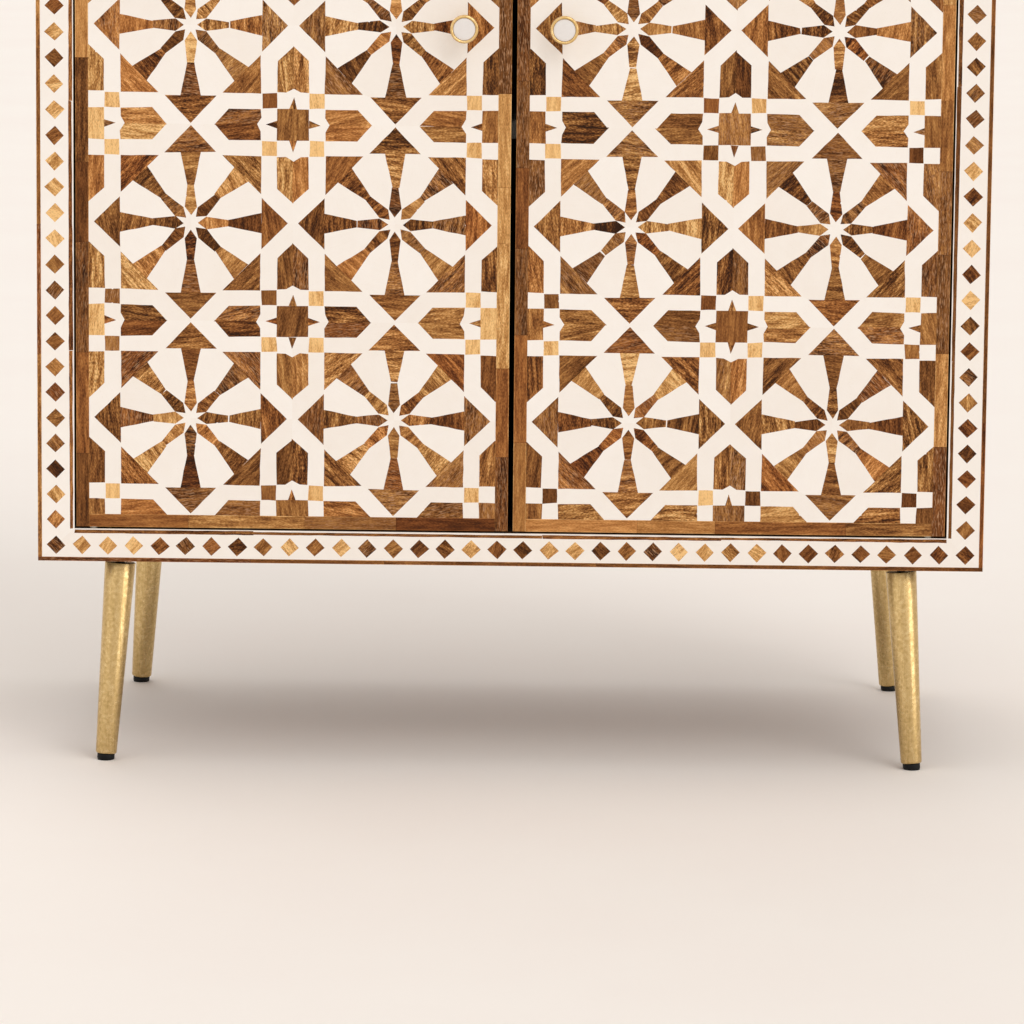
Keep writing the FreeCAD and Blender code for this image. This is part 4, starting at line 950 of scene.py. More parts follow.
@dataclass
class InlayMesh:
    """A mesh of flat pieces on a face. Each face carries the tone of its piece and a map along its grain."""

    MARKS: ClassVar[tuple[str, ...]] = ("tone", "rust", "dust", "figure")
    # How far the middle of a rounded edge is drawn in, as a share of its rounding
    ROUND_SHARE: ClassVar[float] = 0.3
    plane: Plane
    depth: float = 2.0
    mesh: bmesh.types.BMesh = field(init=False)

    def __post_init__(self) -> None:
        """Starts the mesh and its layers."""
        self.mesh = bmesh.new()
        self.layers = [self.mesh.faces.layers.float.new(name) for name in self.MARKS]
        self.grain = self.mesh.loops.layers.uv.new(GRAIN_MAP)

    def paint(self, faces: Iterable[bmesh.types.BMFace], offcut: Offcut, grain: float) -> None:
        """Marks faces with their offcut and the direction of its grain.

        Args:
            faces: The faces of one piece.
            offcut: The wood or bone that it is cut from.
            grain: The direction of the grain in the plane of the face.
        """
        c, s = math.cos(grain), math.sin(grain)
        for face in faces:
            for layer, value in zip(self.layers, (offcut.tone, offcut.rust, offcut.dust, offcut.figure)):
                face[layer] = value
            for loop in face.loops:
                x, y = self.plane.flat(loop.vert.co)
                loop[self.grain].uv = ((x * c + y * s) * MM + offcut.shift[0], (y * c - x * s) * MM + offcut.shift[1])

    def add_slab(self, points: Sequence[Point], groups: Sequence[Sequence[Triangle]]) -> list[list[bmesh.types.BMFace]]:
        """Adds a flat solid of the inlay's depth, its top flush with the face.

        Args:
            points: The points that the triangles share.
            groups: The triangles of each part of the solid.

        Returns:
            The faces of each part, walls left out.
        """
        triangles = [triangle for group in groups for triangle in group]
        used = sorted({index for triangle in triangles for index in triangle})
        top = {index: self.mesh.verts.new(self.plane.point(*points[index])) for index in used}
        low = {index: self.mesh.verts.new(self.plane.point(*points[index], -self.depth)) for index in used}
        faces = [[face for a, b, c in group for face in (self.mesh.faces.new((top[a], top[b], top[c])),
                                                          self.mesh.faces.new((low[c], low[b], low[a])))]
                 for group in groups]
        edges = {edge for a, b, c in triangles for edge in ((a, b), (b, c), (c, a))}
        for a, b in sorted(edges):
            if (b, a) not in edges:
                faces[0].append(self.mesh.faces.new((top[a], low[a], low[b], top[b])))
        return faces

    def add_bar(self, low: Point, high: Point,
                ease: float) -> tuple[list[bmesh.types.BMFace], list[bmesh.types.BMFace]]:
        """Adds a straight strip with rounded upper edges.

        Args:
            low: Its lowest corner in the plane.
            high: Its highest corner.
            ease: The rounding of its edges.

        Returns:
            Its flat faces and ends, and the rounded edges along it.
        """
        rings, middle = [], self.ROUND_SHARE * ease
        for draw_in, out in ((0.0, -self.depth), (0.0, -ease), (middle, -middle), (ease, 0.0)):
            corners = rectangle((low[0] + draw_in, low[1] + draw_in), (high[0] - draw_in, high[1] - draw_in))
            rings.append([self.mesh.verts.new(self.plane.point(*corner, out)) for corner in corners])
        walls = [self.mesh.faces.new((under[k], under[(k + 1) % 4], over[(k + 1) % 4], over[k]))
                 for under, over in zip(rings, rings[1:]) for k in range(4)]
        flat = [self.mesh.faces.new(rings[0][::-1]), self.mesh.faces.new(rings[-1])]
        # Walls come in rounds of four. The first round is upright, and in the others every second runs along the strip
        arris = walls[4 + long_axis(low, high)::2]
        return flat + [wall for wall in walls if wall not in arris], arris


@dataclass(frozen=True)
class Strip:
    """A straight strip with rounded edges, as laid."""

    low: Point
    high: Point
    kind: Kind
    ease: float


@dataclass
class InlaidFace:
    """A face with bone ground and wooden pieces let into it, and strips at its edges."""

    name: str
    body: str
    plane: Plane
    bench: Bench
    tiles: list[Outline] = field(default_factory=list)
    pieces: list[Piece] = field(default_factory=list)
    strips: list[Strip] = field(default_factory=list)
    # How much paler the worn edges of strips are
    arris_wear: float = 0.28
    # How far a butt slips, as a share of the usual length
    butt_slip: float = 0.22
    # Turn of a lozenge in radians, its two ways of grain in half turns, and how much more or less a grain leans
    lozenge_turn: float = 0.025
    lozenge_grains: Point = (0.25, 0.75)
    lozenge_lean: float = 3.0
    strip_lean: float = 0.25

    def lay_ring(self, outer: Point, inner: Point) -> None:
        """Lays four mitred tiles of ground between two rectangles.

        Args:
            outer: Half the outer rectangle.
            inner: Half the inner one.
        """
        for sx, sy in ((1, 0), (-1, 0), (0, 1), (0, -1)):
            ends = ((sx, -1), (sx, 1)) if sx else ((-1, sy), (1, sy))
            self.tiles.append([(outer[0] * x, outer[1] * y) for x, y in ends]
                              + [(inner[0] * x, inner[1] * y) for x, y in ends[::-1]])

    def lay_run(self, low: Point, high: Point, kind: Kind, length: float) -> None:
        """Lays a long narrow run of butted pieces flush in the ground.

        Args:
            low: The run's lowest corner.
            high: Its highest corner.
            kind: The sort of piece.
            length: The usual length of a piece.
        """
        grain = long_axis(low, high) * math.pi / 2
        self.pieces += [Piece(rectangle(start, stop), kind, grain) for start, stop in self.butts(low, high, length)]

    def lay_strip(self, low: Point, high: Point, kind: Kind, length: float, ease: float) -> None:
        """Lays a run of butted strips with rounded edges.

        Args:
            low: The run's lowest corner.
            high: Its highest corner.
            kind: The sort of strip.
            length: The usual length of a strip.
            ease: The rounding of the edges.
        """
        self.strips += [Strip(start, stop, kind, ease) for start, stop in self.butts(low, high, length)]

    def butts(self, low: Point, high: Point, length: float) -> list[tuple[Point, Point]]:
        """Divides a run into pieces of uneven length.

        Args:
            low: The run's lowest corner.
            high: Its highest corner.
            length: The usual length of a piece.

        Returns:
            The corners of each piece.
        """
        axis = long_axis(low, high)
        count = max(1, round((high[axis] - low[axis]) / length))
        marks = [number + (self.bench.chance.uniform(-self.butt_slip, self.butt_slip) if 0 < number < count else 0.0)
                 for number in range(count + 1)]
        places = [low[axis] + mark / count * (high[axis] - low[axis]) for mark in marks]
        return [((a, low[1]), (b, high[1])) if axis == 0 else ((low[0], a), (high[0], b))
                for a, b in zip(places, places[1:])]

    def lay_lozenges(self, half: Point, size: float, pitch: float) -> None:
        """Lays a rectangle of lozenges, one at each corner.

        Args:
            half: Half the rectangle through their middles.
            size: The diagonal of a lozenge.
            pitch: Their usual spacing.
        """
        counts = [round(2 * reach / pitch) for reach in half]
        middles = [(-half[0] + 2 * half[0] * k / counts[0], side * half[1])
                   for side in (-1, 1) for k in range(counts[0] + 1)]
        middles += [(side * half[0], -half[1] + 2 * half[1] * k / counts[1])
                    for side in (-1, 1) for k in range(1, counts[1])]
        for middle in middles:
            turn = self.bench.chance.gauss(0, self.lozenge_turn)
            corners = [polar(middle, turn + k * math.pi / 2, size / 2) for k in range(4)]
            grain = self.bench.chance.choice(self.lozenge_grains) * math.pi + self.lozenge_lean * self.bench.lean()
            self.pieces.append(Piece(corners, Kind.LOZENGE, grain))

    def build(self, ground_nodes: Sequence[str], wood_nodes: Sequence[str], strip_nodes: Sequence[str] = ()) -> None:
        """Cuts every piece and builds the ground, the wood and the strips.

        Args:
            ground_nodes: CAD nodes that the bone ground stands for.
            wood_nodes: CAD nodes that the wooden pieces stand for.
            strip_nodes: CAD nodes that the strips stand for, where they are a piece of their own.
        """
        parted = cut_apart(self.tiles, [self.bench.cut(piece.outline) for piece in self.pieces])
        ground, wood = InlayMesh(self.plane), InlayMesh(self.plane)
        for faces in ground.add_slab(parted.points, [parted.tiles[number] for number in sorted(parted.tiles)]):
            ground.paint(faces, self.bench.shade(), self.bench.chance.uniform(0, math.pi))
        offcut = Offcut(tone=0.5)
        for number, triangles in sorted(parted.pieces.items()):
            piece = self.pieces[number]
            offcut = self.bench.offcut(piece.kind, offcut)
            for faces in wood.add_slab(parted.points, [triangles]):
                wood.paint(faces, offcut, piece.grain + self.bench.lean())
        edge = InlayMesh(self.plane) if strip_nodes else wood
        for strip in self.strips:
            offcut = self.bench.offcut(strip.kind, offcut)
            grain = long_axis(strip.low, strip.high) * math.pi / 2 + self.strip_lean * self.bench.lean()
            body, arris = edge.add_bar(strip.low, strip.high, strip.ease)
            edge.paint(body, offcut, grain)
            edge.paint(arris, replace(offcut, tone=offcut.tone + self.arris_wear), grain)
        settle(ground.mesh, f"{self.name}_bone_ground", BONE, self.body, ground_nodes)
        settle(wood.mesh, f"{self.name}_wood_pieces", OFFCUTS, self.body, wood_nodes)
        if strip_nodes:
            settle(edge.mesh, f"{self.name}_edge_strips", OFFCUTS, self.body, strip_nodes)


@dataclass(kw_only=True)
class Border:
    """What runs round an inlaid face of the case: edge strips, a band of lozenges and a bead."""

    edging: float = 4.0
    edging_length: float = 150.0
    edging_ease: float = 0.5
    bead: float = 2.5
    bead_length: float = 190.0
    lozenge: float = 18.3
    pitch: float = 25.0

    def lay_sides(self, face: InlaidFace, half: Point, near: Point, reach: Point) -> None:
        """Lays the bead and the edge strips along the four sides.

        Args:
            face: The face that takes them.
            half: Half the face.
            near: Half the rectangle that the bead runs round.
            reach: Half the rectangle whose sides the bead is as long as.
        """
        for axis, side in ((0, -1), (0, 1), (1, -1), (1, 1)):
            run = along_side(axis, side, near[axis], near[axis] + self.bead, reach[1 - axis])
            face.lay_run(*run, Kind.BEAD, self.bead_length)
            # Upright strips stand between the level ones
            full = half[1 - axis] - (self.edging if axis == 0 else 0.0)
            run = along_side(axis, side, half[axis] - self.edging, half[axis], full)
            face.lay_strip(*run, Kind.EDGING, self.edging_length, self.edging_ease)


@dataclass(kw_only=True)
class FrontBorder(Border):
    """The border round the doors, with a white line between its bead and the opening."""

    seed: int
    half: Point = (457.0, 425.0)
    opening: Point = (421.5, 393.0)
    edging_length: float = 170.0
    bead: float = 3.3
    line: float = 1.2

    def build(self) -> None:
        """Lays and builds the border."""
        face = InlaidFace("front_border", "case", front_plane(*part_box("front_edge_strips")), Bench(self.seed))
        outer = self.half[0] - self.edging, self.half[1] - self.edging
        face.lay_ring(outer, self.opening)
        face.lay_lozenges(tuple((far + near + self.line + self.bead) / 2 for far, near in zip(outer, self.opening)),
                          self.lozenge, self.pitch)
        near = self.opening[0] + self.line, self.opening[1] + self.line
        self.lay_sides(face, self.half, near, self.opening)
        face.build(["front_border_bone"], ["front_border_diamonds", "front_edge_strips"])


@dataclass
class WallPanel(Border):
    """An inlaid side or top of the case: a border and a field of stars."""

    name: str
    across: Vector
    up: Vector
    cells: tuple[int, int]
    seed: int
    band: float = 25.0

    def build(self) -> None:
        """Lays and builds the panel."""
        low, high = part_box(f"{self.name}_wood")
        out = self.across.cross(self.up)
        middle, reach = (low + high) / 2, (high - low) / 2
        plane = Plane(middle + out * abs(reach.dot(out)), self.across, self.up)
        half = abs(reach.dot(self.across)) / MM, abs(reach.dot(self.up)) / MM
        face = InlaidFace(self.name, "case", plane, Bench(self.seed))
        outer = half[0] - self.edging, half[1] - self.edging
        inner = outer[0] - self.band - self.bead, outer[1] - self.band - self.bead
        face.lay_ring(outer, inner)
        tiles, pieces = StarPattern().field((-inner[0], -inner[1]), inner, self.cells, face.bench)
        face.tiles += tiles
        face.lay_lozenges((outer[0] - self.band / 2, outer[1] - self.band / 2), self.lozenge, self.pitch)
        self.lay_sides(face, half, inner, inner)
        # The border comes first, because the stars run under it
        face.pieces += pieces
        face.build([f"{self.name}_bone"], [f"{self.name}_wood"])


class Side(Enum):
    """A side of the cabinet, for someone who faces the doors."""

    LEFT = "left"
    RIGHT = "right"


@dataclass
class Door:
    """One door: its inlaid face, the strips round it and its knob."""

    side: Side
    seed: int
    cells: tuple[int, int] = (2, 4)
    strip_length: float = 88.0
    strip_ease: float = 0.55
    knob_profile: tuple[Point, ...] = (
        (0, 0), (9.7, 0), (10, 0.3), (10, 1.4), (9.6, 1.9), (8.7, 2.1), (8.3, 2.5), (8.2, 3.2), (8.2, 14.2),
        (8.4, 15.6), (9.0, 17.1), (10.1, 18.5), (11.7, 19.7), (12.8, 20.4), (13.3, 21.2), (13.5, 22.2), (13.5, 26.4),
        (13.3, 27.3), (12.8, 27.85), (12.1, 28), (11.4, 27.9), (10.95, 27.5), (10.65, 26.9), (10.6, 24.5), (0, 24.5))
    insert_profile: tuple[Point, ...] = (
        (0, 24.5), (10.4, 24.5), (10.5, 24.7), (10.5, 26.7), (10.35, 27.0), (9.9, 27.2), (8.0, 27.35), (4.5, 27.45),
        (0, 27.5))
    knob_sides: int = 72
    insert_tone: float = 0.1
    insert_grain: float = 0.5

    @property
    def body(self) -> str:
        """The CAD body of the door."""
        return f"{self.side.value}_door"

    def build(self) -> None:
        """Builds the inlaid face and the knob."""
        low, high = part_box(f"{self.body}_edging")
        half = (high.x - low.x) / 2 / MM, (high.z - low.z) / 2 / MM
        inner_low, inner_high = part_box(f"{self.body}_bone")
        inner = (inner_high.x - inner_low.x) / 2 / MM, (inner_high.z - inner_low.z) / 2 / MM
        face = InlaidFace(self.body, self.body, front_plane(low, high), Bench(self.seed))
        face.tiles, face.pieces = StarPattern().field((-inner[0], -inner[1]), inner, self.cells, face.bench)
        for side in (-1, 1):
            for axis, reach in enumerate((half[1], inner[0])):
                run = along_side(axis, side, inner[axis], half[axis], reach)
                face.lay_strip(*run, Kind.STRIP, self.strip_length, self.strip_ease)
        face.build([f"{self.body}_bone"], [f"{self.body}_wood"], [f"{self.body}_edging"])
        self.build_knob(f"{self.side.value}_knob")

    def build_knob(self, node: str) -> None:
        """Builds the turned ring and its domed bone disc.

        Args:
            node: The CAD node of the knob.
        """
        low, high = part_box(node)
        stand = Matrix.Translation(((low.x + high.x) / 2, high.y, (low.z + high.z) / 2)) @ Matrix.Rotation(
            math.pi / 2, 4, "X")
        ring = bmesh.new()
        lathe(ring, self.knob_profile, stand, self.knob_sides)
        settle(ring, f"{node}_ring", TURNED_BRASS, self.body, [node])
        disc = InlayMesh(Plane(stand.translation, Vector((1, 0, 0)), Vector((0, 0, 1))))
        faces = lathe(disc.mesh, self.insert_profile, stand, self.knob_sides)
        disc.paint(faces, Offcut(self.insert_tone), self.insert_grain)
        settle(disc.mesh, f"{node}_disc", TURNED_BONE, self.body, [f"{node}_insert"])


@dataclass
class Leg:
    """A tapered brass leg on a black glide, leaning out from its plate."""

    name: str
    # -1 for left and 1 for right, -1 for front and 1 for rear
    wide: int
    deep: int
    # How far foot and top lie from the middle of the case, across and deep, and where that middle is
    foot_out: Point = (394.0, 205.0)
    top_out: Point = (380.0, 191.0)
    middle: float = 14.0
    height: float = 200.0
    foot_radius: float = 10.25
    top_radius: float = 15.0
    # The tube ends a little under the boss of its plate, which leaves a dark gap
    short: float = 6.5
    edge: float = 1.8
    edge_steps: int = 8
    # How far in and down the points of the upper rim lie
    rim: tuple[Point, ...] = ((0.02, 0.6), (0.2, 0.15), (0.7, 0.0))
    # Radius and depth of the hollow that takes the glide's stem
    socket: Point = (6.3, 3.0)
    glide_height: float = 6.0
    # Radius and height from the floor, with a little below it that is cut off
    glide_profile: tuple[Point, ...] = (
        (0, -3), (8.0, -3), (8.0, 0.2), (8.5, 1.4), (8.5, 5.2), (8.1, 5.8), (7.5, 6.0), (6.1, 6.0), (6.1, 8.9),
        (0, 8.9))
    tube_sides: int = 64
    glide_sides: int = 48

    @property
    def foot(self) -> Vector:
        """The middle of the foot, on the floor."""
        return Vector((self.wide * self.foot_out[0], self.middle + self.deep * self.foot_out[1], 0.0)) * MM

    @property
    def top(self) -> Vector:
        """The upper end of the leg's axis, under the case."""
        return Vector((self.wide * self.top_out[0], self.middle + self.deep * self.top_out[1], self.height)) * MM

    def stand(self) -> Matrix:
        """Places the leg's axis on the floor."""
        turn = (self.top - self.foot).to_track_quat("Z", "X").to_matrix().to_4x4()
        return Matrix.Translation(self.foot) @ turn

    def build(self) -> None:
        """Builds the tube with its rounded foot, and the glide cut level with the floor."""
        end = (self.top - self.foot).length / MM * (1 - self.short / self.height)
        base, (hollow, depth) = self.glide_height, self.socket
        turns = [step * math.pi / 2 / self.edge_steps for step in range(self.edge_steps + 1)]
        rounded = [(self.foot_radius - self.edge * (1 - math.sin(turn)), base + self.edge * (1 - math.cos(turn)))
                   for turn in turns]
        profile = [(0, base + depth), (hollow, base + depth), (hollow, base), *rounded,
                   *((self.top_radius - inward, end - down) for inward, down in self.rim), (0, end)]
        tube = bmesh.new()
        lathe(tube, profile, self.stand(), self.tube_sides)
        settle(tube, f"{self.name}_leg_tube", ANTIQUE_BRASS, "case", [f"{self.name}_leg"])
        glide = bmesh.new()
        lathe(glide, self.glide_profile, self.stand(), self.glide_sides)
        cut = bmesh.ops.bisect_plane(glide, geom=[*glide.verts, *glide.edges, *glide.faces], plane_co=(0, 0, 0),
                                     plane_no=(0, 0, -1), clear_outer=True)
        bmesh.ops.contextual_create(glide, geom=[item for item in cut["geom_cut"]
                                                 if isinstance(item, bmesh.types.BMEdge)])
        settle(glide, f"{self.name}_glide_foot", MOULDED_BLACK, "case", [f"{self.name}_glide"])


class Level(Enum):
    """Where a point of a screw's head lies."""

    CROWN = "crown"
    FLOOR = "floor of the recess"
    SEAT = "seat"


@dataclass(frozen=True)
class Screw:
    """One screw: its placement, with its seat at the origin and Z out of its head, and its sizes in millimetres."""

    stand: Matrix
    head_radius: float
    head_height: float
    shank_radius: float
    length: float


@dataclass
class ScrewSet:
    """Cross-head screws that stand for the plain ones of a CAD node, each in its own place."""

    node: str
    body: str
    # Reach and half width of the cross as shares of the head's radius, its depth and the crown's rise of the height
    recess: Point = (0.62, 0.15)
    recess_depth: float = 0.55
    crown: float = 0.35
    # Pitch of the thread, where it starts from the tip, and how many turns short of the head it stops
    pitch: float = 1.2
    thread_start: float = 3.0
    plain_turns: int = 2
    # Root of the thread and neck as shares of the shank's radius, and the tip's share and height
    root: float = 0.82
    neck: float = 0.9
    tip: Point = (0.5, 1.6)
    head_sides: int = 32
    shank_sides: int = 20
    weld_mm: float = 0.005
    # Points this near the widest belong to the head, and those between the other two to the shank
    head_share: float = 0.95
    shank_shares: Point = (0.2, 0.8)
    usual_shank: float = 0.5

    def screws(self) -> list[Screw]:
        """Finds the screws of the node.

        Returns:
            The screws, in the order of their places.
        """
        source = bmesh.new()
        source.from_mesh(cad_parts[self.node].data)
        bmesh.ops.remove_doubles(source, verts=source.verts, dist=self.weld_mm * MM)
        left, found = set(source.verts), []
        while left:
            group, edge = set(), [left.pop()]
            while edge:
                vert = edge.pop()
                group.add(vert)
                edge += [other for link in vert.link_edges for other in link.verts if other in left]
                left -= set(edge)
            found.append(self.measure([vert.co.copy() for vert in group]))
        source.free()
        return sorted(found, key=lambda screw: tuple(screw.stand.translation))

    def measure(self, points: list[Vector]) -> Screw:
        """Finds the axis, head and shank of a screw.

        Args:
            points: The points of its solid.

        Returns:
            The screw.
        """
        low = Vector([min(point[k] for point in points) for k in range(3)])
        high = Vector([max(point[k] for point in points) for k in range(3)])
        axis = max(range(3), key=lambda k: (high - low)[k])
        middle = (low + high) / 2
        spread = [math.hypot(*[(point - middle)[k] for k in range(3) if k != axis]) for point in points]
        widest = max(spread)
        heads = [point[axis] for point, radius in zip(points, spread) if radius > self.head_share * widest]
        least, most = (share * widest for share in self.shank_shares)
        shank = max((radius for radius in spread if least < radius < most), default=self.usual_shank * widest)
        out = 1 if sum(heads) / len(heads) > middle[axis] else -1
        direction = Vector([out if k == axis else 0.0 for k in range(3)])
        seat = middle.copy()
        seat[axis] = min(heads) if out > 0 else max(heads)
        turn = direction.to_track_quat("Z", "Y").to_matrix().to_4x4()
        height = max(heads) - min(heads)
        return Screw(Matrix.Translation(seat) @ turn, widest / MM, height / MM, shank / MM,
                     ((high - low)[axis] - height) / MM)

    def build(self) -> None:
        """Builds every screw with a crowned head, a cross recess and a thread."""
        chance = random.Random(self.node)
        mesh = bmesh.new()
        for screw in self.screws():
            stand = screw.stand @ Matrix.Rotation(chance.uniform(0, math.tau), 4, "Z")
            self.build_head(mesh, stand, screw.head_radius, screw.head_height)
            shank, length = screw.shank_radius, screw.length
            ridges = []
            for number in range(int(length / self.pitch) - self.plain_turns):
                start = -length + self.thread_start + self.pitch * number
                ridges += [(shank * self.root, start), (shank, start + self.pitch / 2)]
            lathe(mesh, [(0, -length), (shank * self.tip[0], -length + self.tip[1]), *ridges, (shank * self.neck, 0)],
                  stand, self.shank_sides)
        settle(mesh, f"{self.node}_cross_head", ZINC, self.body, [self.node])

    def build_head(self, mesh: bmesh.types.BMesh, stand: Matrix, radius: float, height: float) -> None:
        """Builds a head: a crowned disc with a cross pressed into it.

        Args:
            mesh: The mesh that takes it.
            stand: The placement, with the seat at its origin and Z out.
            radius: The head's radius.
            height: The head's height.
        """
        arm, width = self.recess[0] * radius, self.recess[1] * radius
        cross = [polar((0.0, 0.0), k * math.pi / 2, *corner) for k in range(4)
                 for corner in ((width, -width), (arm, -width), (arm, width))]
        rim = [polar((0.0, 0.0), k * math.tau / self.head_sides, radius) for k in range(self.head_sides)]
        parted = cut_apart([rim], [cross])
        rise = self.crown * height
        made = {}

        def vert(index: int, level: Level) -> bmesh.types.BMVert:
            """Gives the vertex of a point at one of the levels, made at its first use.

            Args:
                index: The point's number.
                level: The level.

            Returns:
                The vertex.
            """
            x, y = parted.points[index]
            out = {Level.CROWN: height - rise * (x * x + y * y) / radius ** 2,
                   Level.FLOOR: height - rise - self.recess_depth * height, Level.SEAT: 0.0}[level]
            if (index, level) not in made:
                made[index, level] = mesh.verts.new(stand @ (Vector((x, y, out)) * MM))
            return made[index, level]

        crowned, sunk = parted.tiles[0], parted.pieces[0]
        for triangle in crowned:
            mesh.faces.new([vert(k, Level.CROWN) for k in triangle])
        for triangle in sunk:
            mesh.faces.new([vert(k, Level.FLOOR) for k in triangle])
        inner = {edge for a, b, c in sunk for edge in ((a, b), (b, c), (c, a))}
        outer = {edge for a, b, c in crowned for edge in ((a, b), (b, c), (c, a))}
        for a, b in sorted(inner):
            if (b, a) not in inner:
                mesh.faces.new((vert(a, Level.FLOOR), vert(b, Level.FLOOR), vert(b, Level.CROWN), vert(a, Level.CROWN)))
        for a, b in sorted(outer):
            if (b, a) not in outer and (b, a) not in inner:
                mesh.faces.new((vert(a, Level.CROWN), vert(a, Level.SEAT), vert(b, Level.SEAT), vert(b, Level.CROWN)))
        seated = [index for index in sorted({k for t in crowned for k in t}) if (index, Level.SEAT) in made]
        seated.sort(key=lambda index: -math.atan2(parted.points[index][1], parted.points[index][0]))
        mesh.faces.new([made[index, Level.SEAT] for index in seated])


# The screws of each CAD node and the body that they move with
SCREW_BODIES: dict[str, str] = {
    "back_panel_screws": "case", "case_pivot_screws": "case", "catch_screws": "case", "leg_plate_screws": "case",
    "left_door_screws": "left_door", "right_door_screws": "right_door",
    "left_knob_screw": "left_door", "right_knob_screw": "right_door",
}


@dataclass
class CadPieces:
    """CAD nodes whose shape is right: each gets its finish and eased edges, by millimetres."""

    weld_mm: float = 0.002
    ease_steps: int = 2
    # Only edges sharper than this are eased
    ease_from: float = math.radians(40)
    finishes: dict[str, tuple[Finish, float]] = field(default_factory=lambda: {
        "left_side_board": (OILED_UPRIGHT, 0.5), "right_side_board": (OILED_UPRIGHT, 0.5),
        "top_board": (OILED_LEVEL, 0.5), "bottom_board": (OILED_LEVEL, 0.5),
        "left_door_core": (OILED_UPRIGHT, 0.6), "right_door_core": (OILED_UPRIGHT, 0.6),
        # The shelf's tones carry painted light: they are paler than its grey stain, so that its edge looks lit in the
        # shaded case
        "shelf": (GREY_SHELF_PAINTED_LIGHT, 0.8), "back_panel": (PLYWOOD, 0.4), "carcass_dowels": (BEECH, 0.0),
        "left_case_pivots": (MILLED_BRASS, 0.25), "right_case_pivots": (MILLED_BRASS, 0.25),
        "left_door_pivots": (MILLED_BRASS, 0.25), "right_door_pivots": (MILLED_BRASS, 0.25),
        "left_pivot_washer": (NYLON, 0.2), "right_pivot_washer": (NYLON, 0.2),
        "left_strike": (ZINC, 0.3), "right_strike": (ZINC, 0.3),
        "catch_body": (MOULDED_BLACK, 0.6), "catch_magnets": (FERRITE, 0.3), "shelf_supports": (ZINC, 0.4),
        "front_left_leg_plate": (POWDER_BLACK, 0.5), "front_right_leg_plate": (POWDER_BLACK, 0.5),
        "rear_left_leg_plate": (POWDER_BLACK, 0.5), "rear_right_leg_plate": (POWDER_BLACK, 0.5),
    })

    def dress(self) -> None:
        """Gives every node its finish and eases its edges."""
        for name, (finish, ease) in self.finishes.items():
            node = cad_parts[name]
            node.data.materials.clear()
            node.data.materials.append(finish.material())
            if ease:
                weld = node.modifiers.new("weld", "WELD")
                weld.merge_threshold = self.weld_mm * MM
                bevel = node.modifiers.new("eased edges", "BEVEL")
                bevel.width, bevel.segments, bevel.angle_limit = ease * MM, self.ease_steps, self.ease_from
                bevel.limit_method, bevel.harden_normals = "ANGLE", False
                node.modifiers.new("shading", "WEIGHTED_NORMAL").keep_sharp = True
            log.info("%s keeps its CAD shape: %s", name, finish.name)


# The studio


@dataclass(frozen=True)
class Lamp:
    """A soft far lamp that faces the cabinet and lights the whole floor alike. Its size is in degrees."""

    name: str
    place: tuple[float, float, float]
    size: float
    power: float

    def build(self, aim: Vector) -> None:
        """Hangs the lamp.

        Args:
            aim: The point that it faces.
        """
        data = bpy.data.lights.new(self.name, "SUN")
        data.energy, data.angle = self.power, math.radians(self.size)
        lamp = bpy.data.objects.new(self.name, data)
        bpy.context.scene.collection.objects.link(lamp)
        lamp.location = self.place
        lamp.rotation_euler = (aim - Vector(self.place)).to_track_quat("-Z", "Y").to_euler()


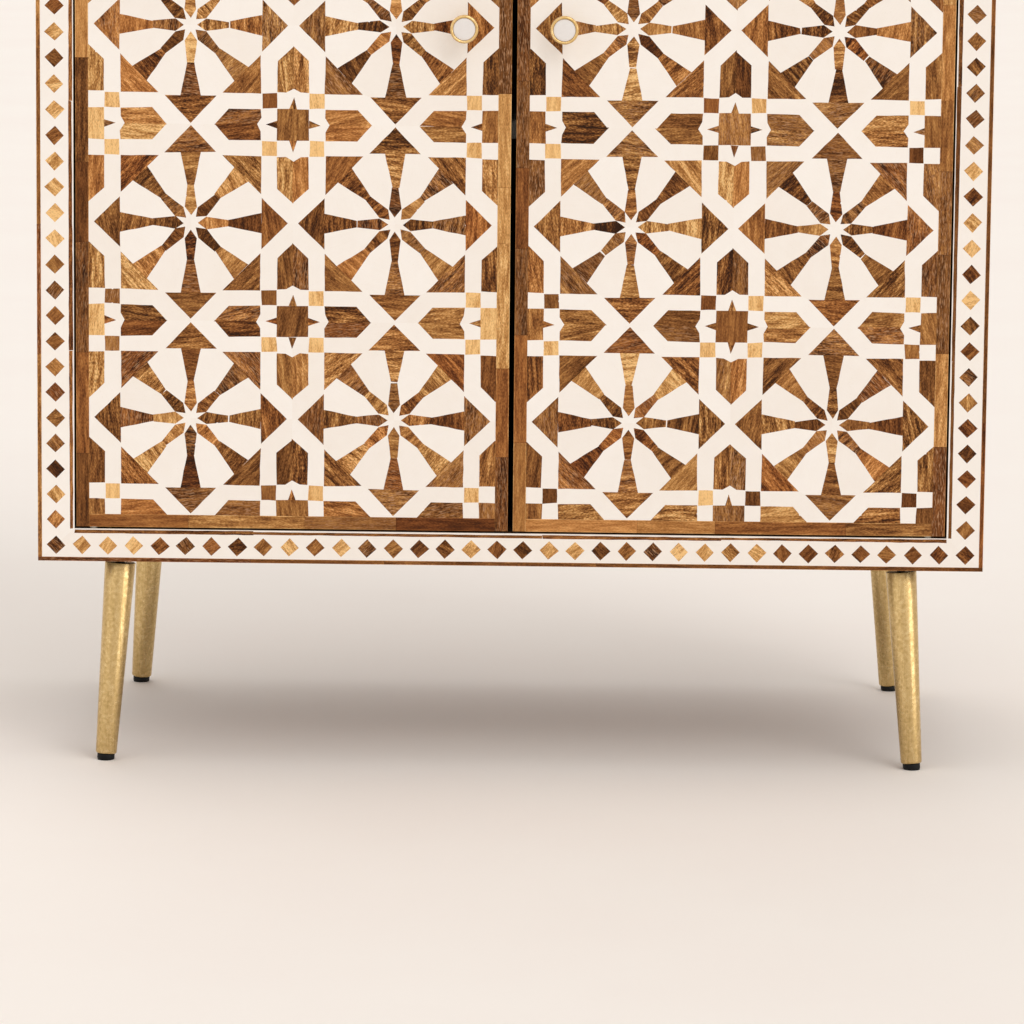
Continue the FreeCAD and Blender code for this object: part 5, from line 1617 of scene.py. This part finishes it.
@dataclass
class Studio:
    """A pale floor, soft lamps and the camera at the photograph's angle."""

    aim: Vector = field(default_factory=lambda: Vector((0.0, 0.0, 0.5)))
    lamps: tuple[Lamp, ...] = (
        Lamp("key", (2.0, -3.4, 3.6), 32.0, 0.70), Lamp("fill", (-3.6, -3.0, 2.4), 60.0, 0.20),
        Lamp("rear", (-1.4, 3.6, 3.6), 50.0, 0.40), Lamp("over", (0.3, -0.4, 5.0), 60.0, 0.54),
        Lamp("low", (3.6, -2.1, 0.80), 36.0, 0.60))
    sky: str = "#fcfaf8"
    sky_strength: float = 0.57
    backdrop: str = "#f9f0e7"
    floor_radius: float = 60.0
    floor_sides: int = 96
    camera_place: tuple[float, float, float] = (0.07586, -5.28992, 1.05080)
    camera_turn: tuple[float, float, float] = (-0.01461, 0.15588, 0.00961)
    lens: float = 187.02
    sensor: float = 36.0
    sight: float = 200.0

    def build(self) -> None:
        """Builds floor, light and camera."""
        scene = bpy.context.scene
        scene.view_settings.view_transform = "Standard"
        mesh = bmesh.new()
        bmesh.ops.create_circle(mesh, cap_ends=True, segments=self.floor_sides, radius=self.floor_radius)
        data = bpy.data.meshes.new("floor")
        mesh.to_mesh(data)
        mesh.free()
        data.materials.append(FLOOR_PAINT.material())
        floor = bpy.data.objects.new("floor", data)
        scene.collection.objects.link(floor)
        scene.world = self.world()
        for lamp in self.lamps:
            lamp.build(self.aim)
        self.build_camera()

    def world(self) -> bpy.types.World:
        """Makes the soft sky, and the pale backdrop that the camera and the metal see in its place.

        Returns:
            The world.
        """
        world = bpy.data.worlds.new("studio")
        world.use_nodes = True
        tree = world.node_tree
        light = tree.nodes["Background"]
        light.inputs["Color"].default_value = linear(self.sky)
        light.inputs["Strength"].default_value = self.sky_strength
        seen = add_node(tree, "Background", {"Color": linear(self.backdrop), "Strength": 1.0})
        ray = add_node(tree, "LightPath").outputs
        straight = add_node(tree, "Math", {0: ray["Is Camera Ray"], 1: ray["Is Glossy Ray"]}, operation="MAXIMUM")
        straight = add_node(tree, "Math", {0: straight.outputs[0], 1: ray["Is Transmission Ray"]}, operation="MAXIMUM")
        mixed = add_node(tree, "MixShader", {0: straight.outputs[0], 1: light.outputs[0], 2: seen.outputs[0]})
        tree.links.new(mixed.outputs[0], tree.nodes["World Output"].inputs["Surface"])
        return world

    def build_camera(self) -> None:
        """Sets the camera by its place, its turn, pitch and roll, and its lens."""
        yaw, pitch, roll = self.camera_turn
        ahead = Vector((math.sin(yaw) * math.cos(pitch), math.cos(yaw) * math.cos(pitch), -math.sin(pitch)))
        right = Vector((math.cos(yaw), -math.sin(yaw), 0.0))
        up = right.cross(ahead)
        level = Matrix((right * math.cos(roll) + up * math.sin(roll), up * math.cos(roll) - right * math.sin(roll),
                        -ahead)).transposed()
        data = bpy.data.cameras.new("photo_angle")
        data.lens, data.sensor_width, data.clip_end = self.lens, self.sensor, self.sight
        camera = bpy.data.objects.new("photo_angle", data)
        bpy.context.scene.collection.objects.link(camera)
        camera.matrix_world = Matrix.Translation(self.camera_place) @ level.to_4x4()
        bpy.context.scene.camera = camera


def main() -> None:
    logging.basicConfig(level=logging.INFO, format="%(name)s: %(message)s")
    Studio().build()
    CadPieces().dress()
    FrontBorder(seed=11).build()
    ahead, aback, right, up = Vector((0, 1, 0)), Vector((0, -1, 0)), Vector((1, 0, 0)), Vector((0, 0, 1))
    WallPanel("left_side_inlay", aback, up, cells=(2, 4), seed=21).build()
    WallPanel("right_side_inlay", ahead, up, cells=(2, 4), seed=22).build()
    WallPanel("top_inlay", right, ahead, cells=(4, 2), seed=23).build()
    Door(Side.LEFT, seed=31).build()
    Door(Side.RIGHT, seed=32).build()
    for end, deep in (("front", -1), ("rear", 1)):
        for side, wide in (("left", -1), ("right", 1)):
            Leg(f"{end}_{side}", wide, deep).build()
    for node, body in SCREW_BODIES.items():
        ScrewSet(node, body).build()


if __name__ == "__main__":
    main()
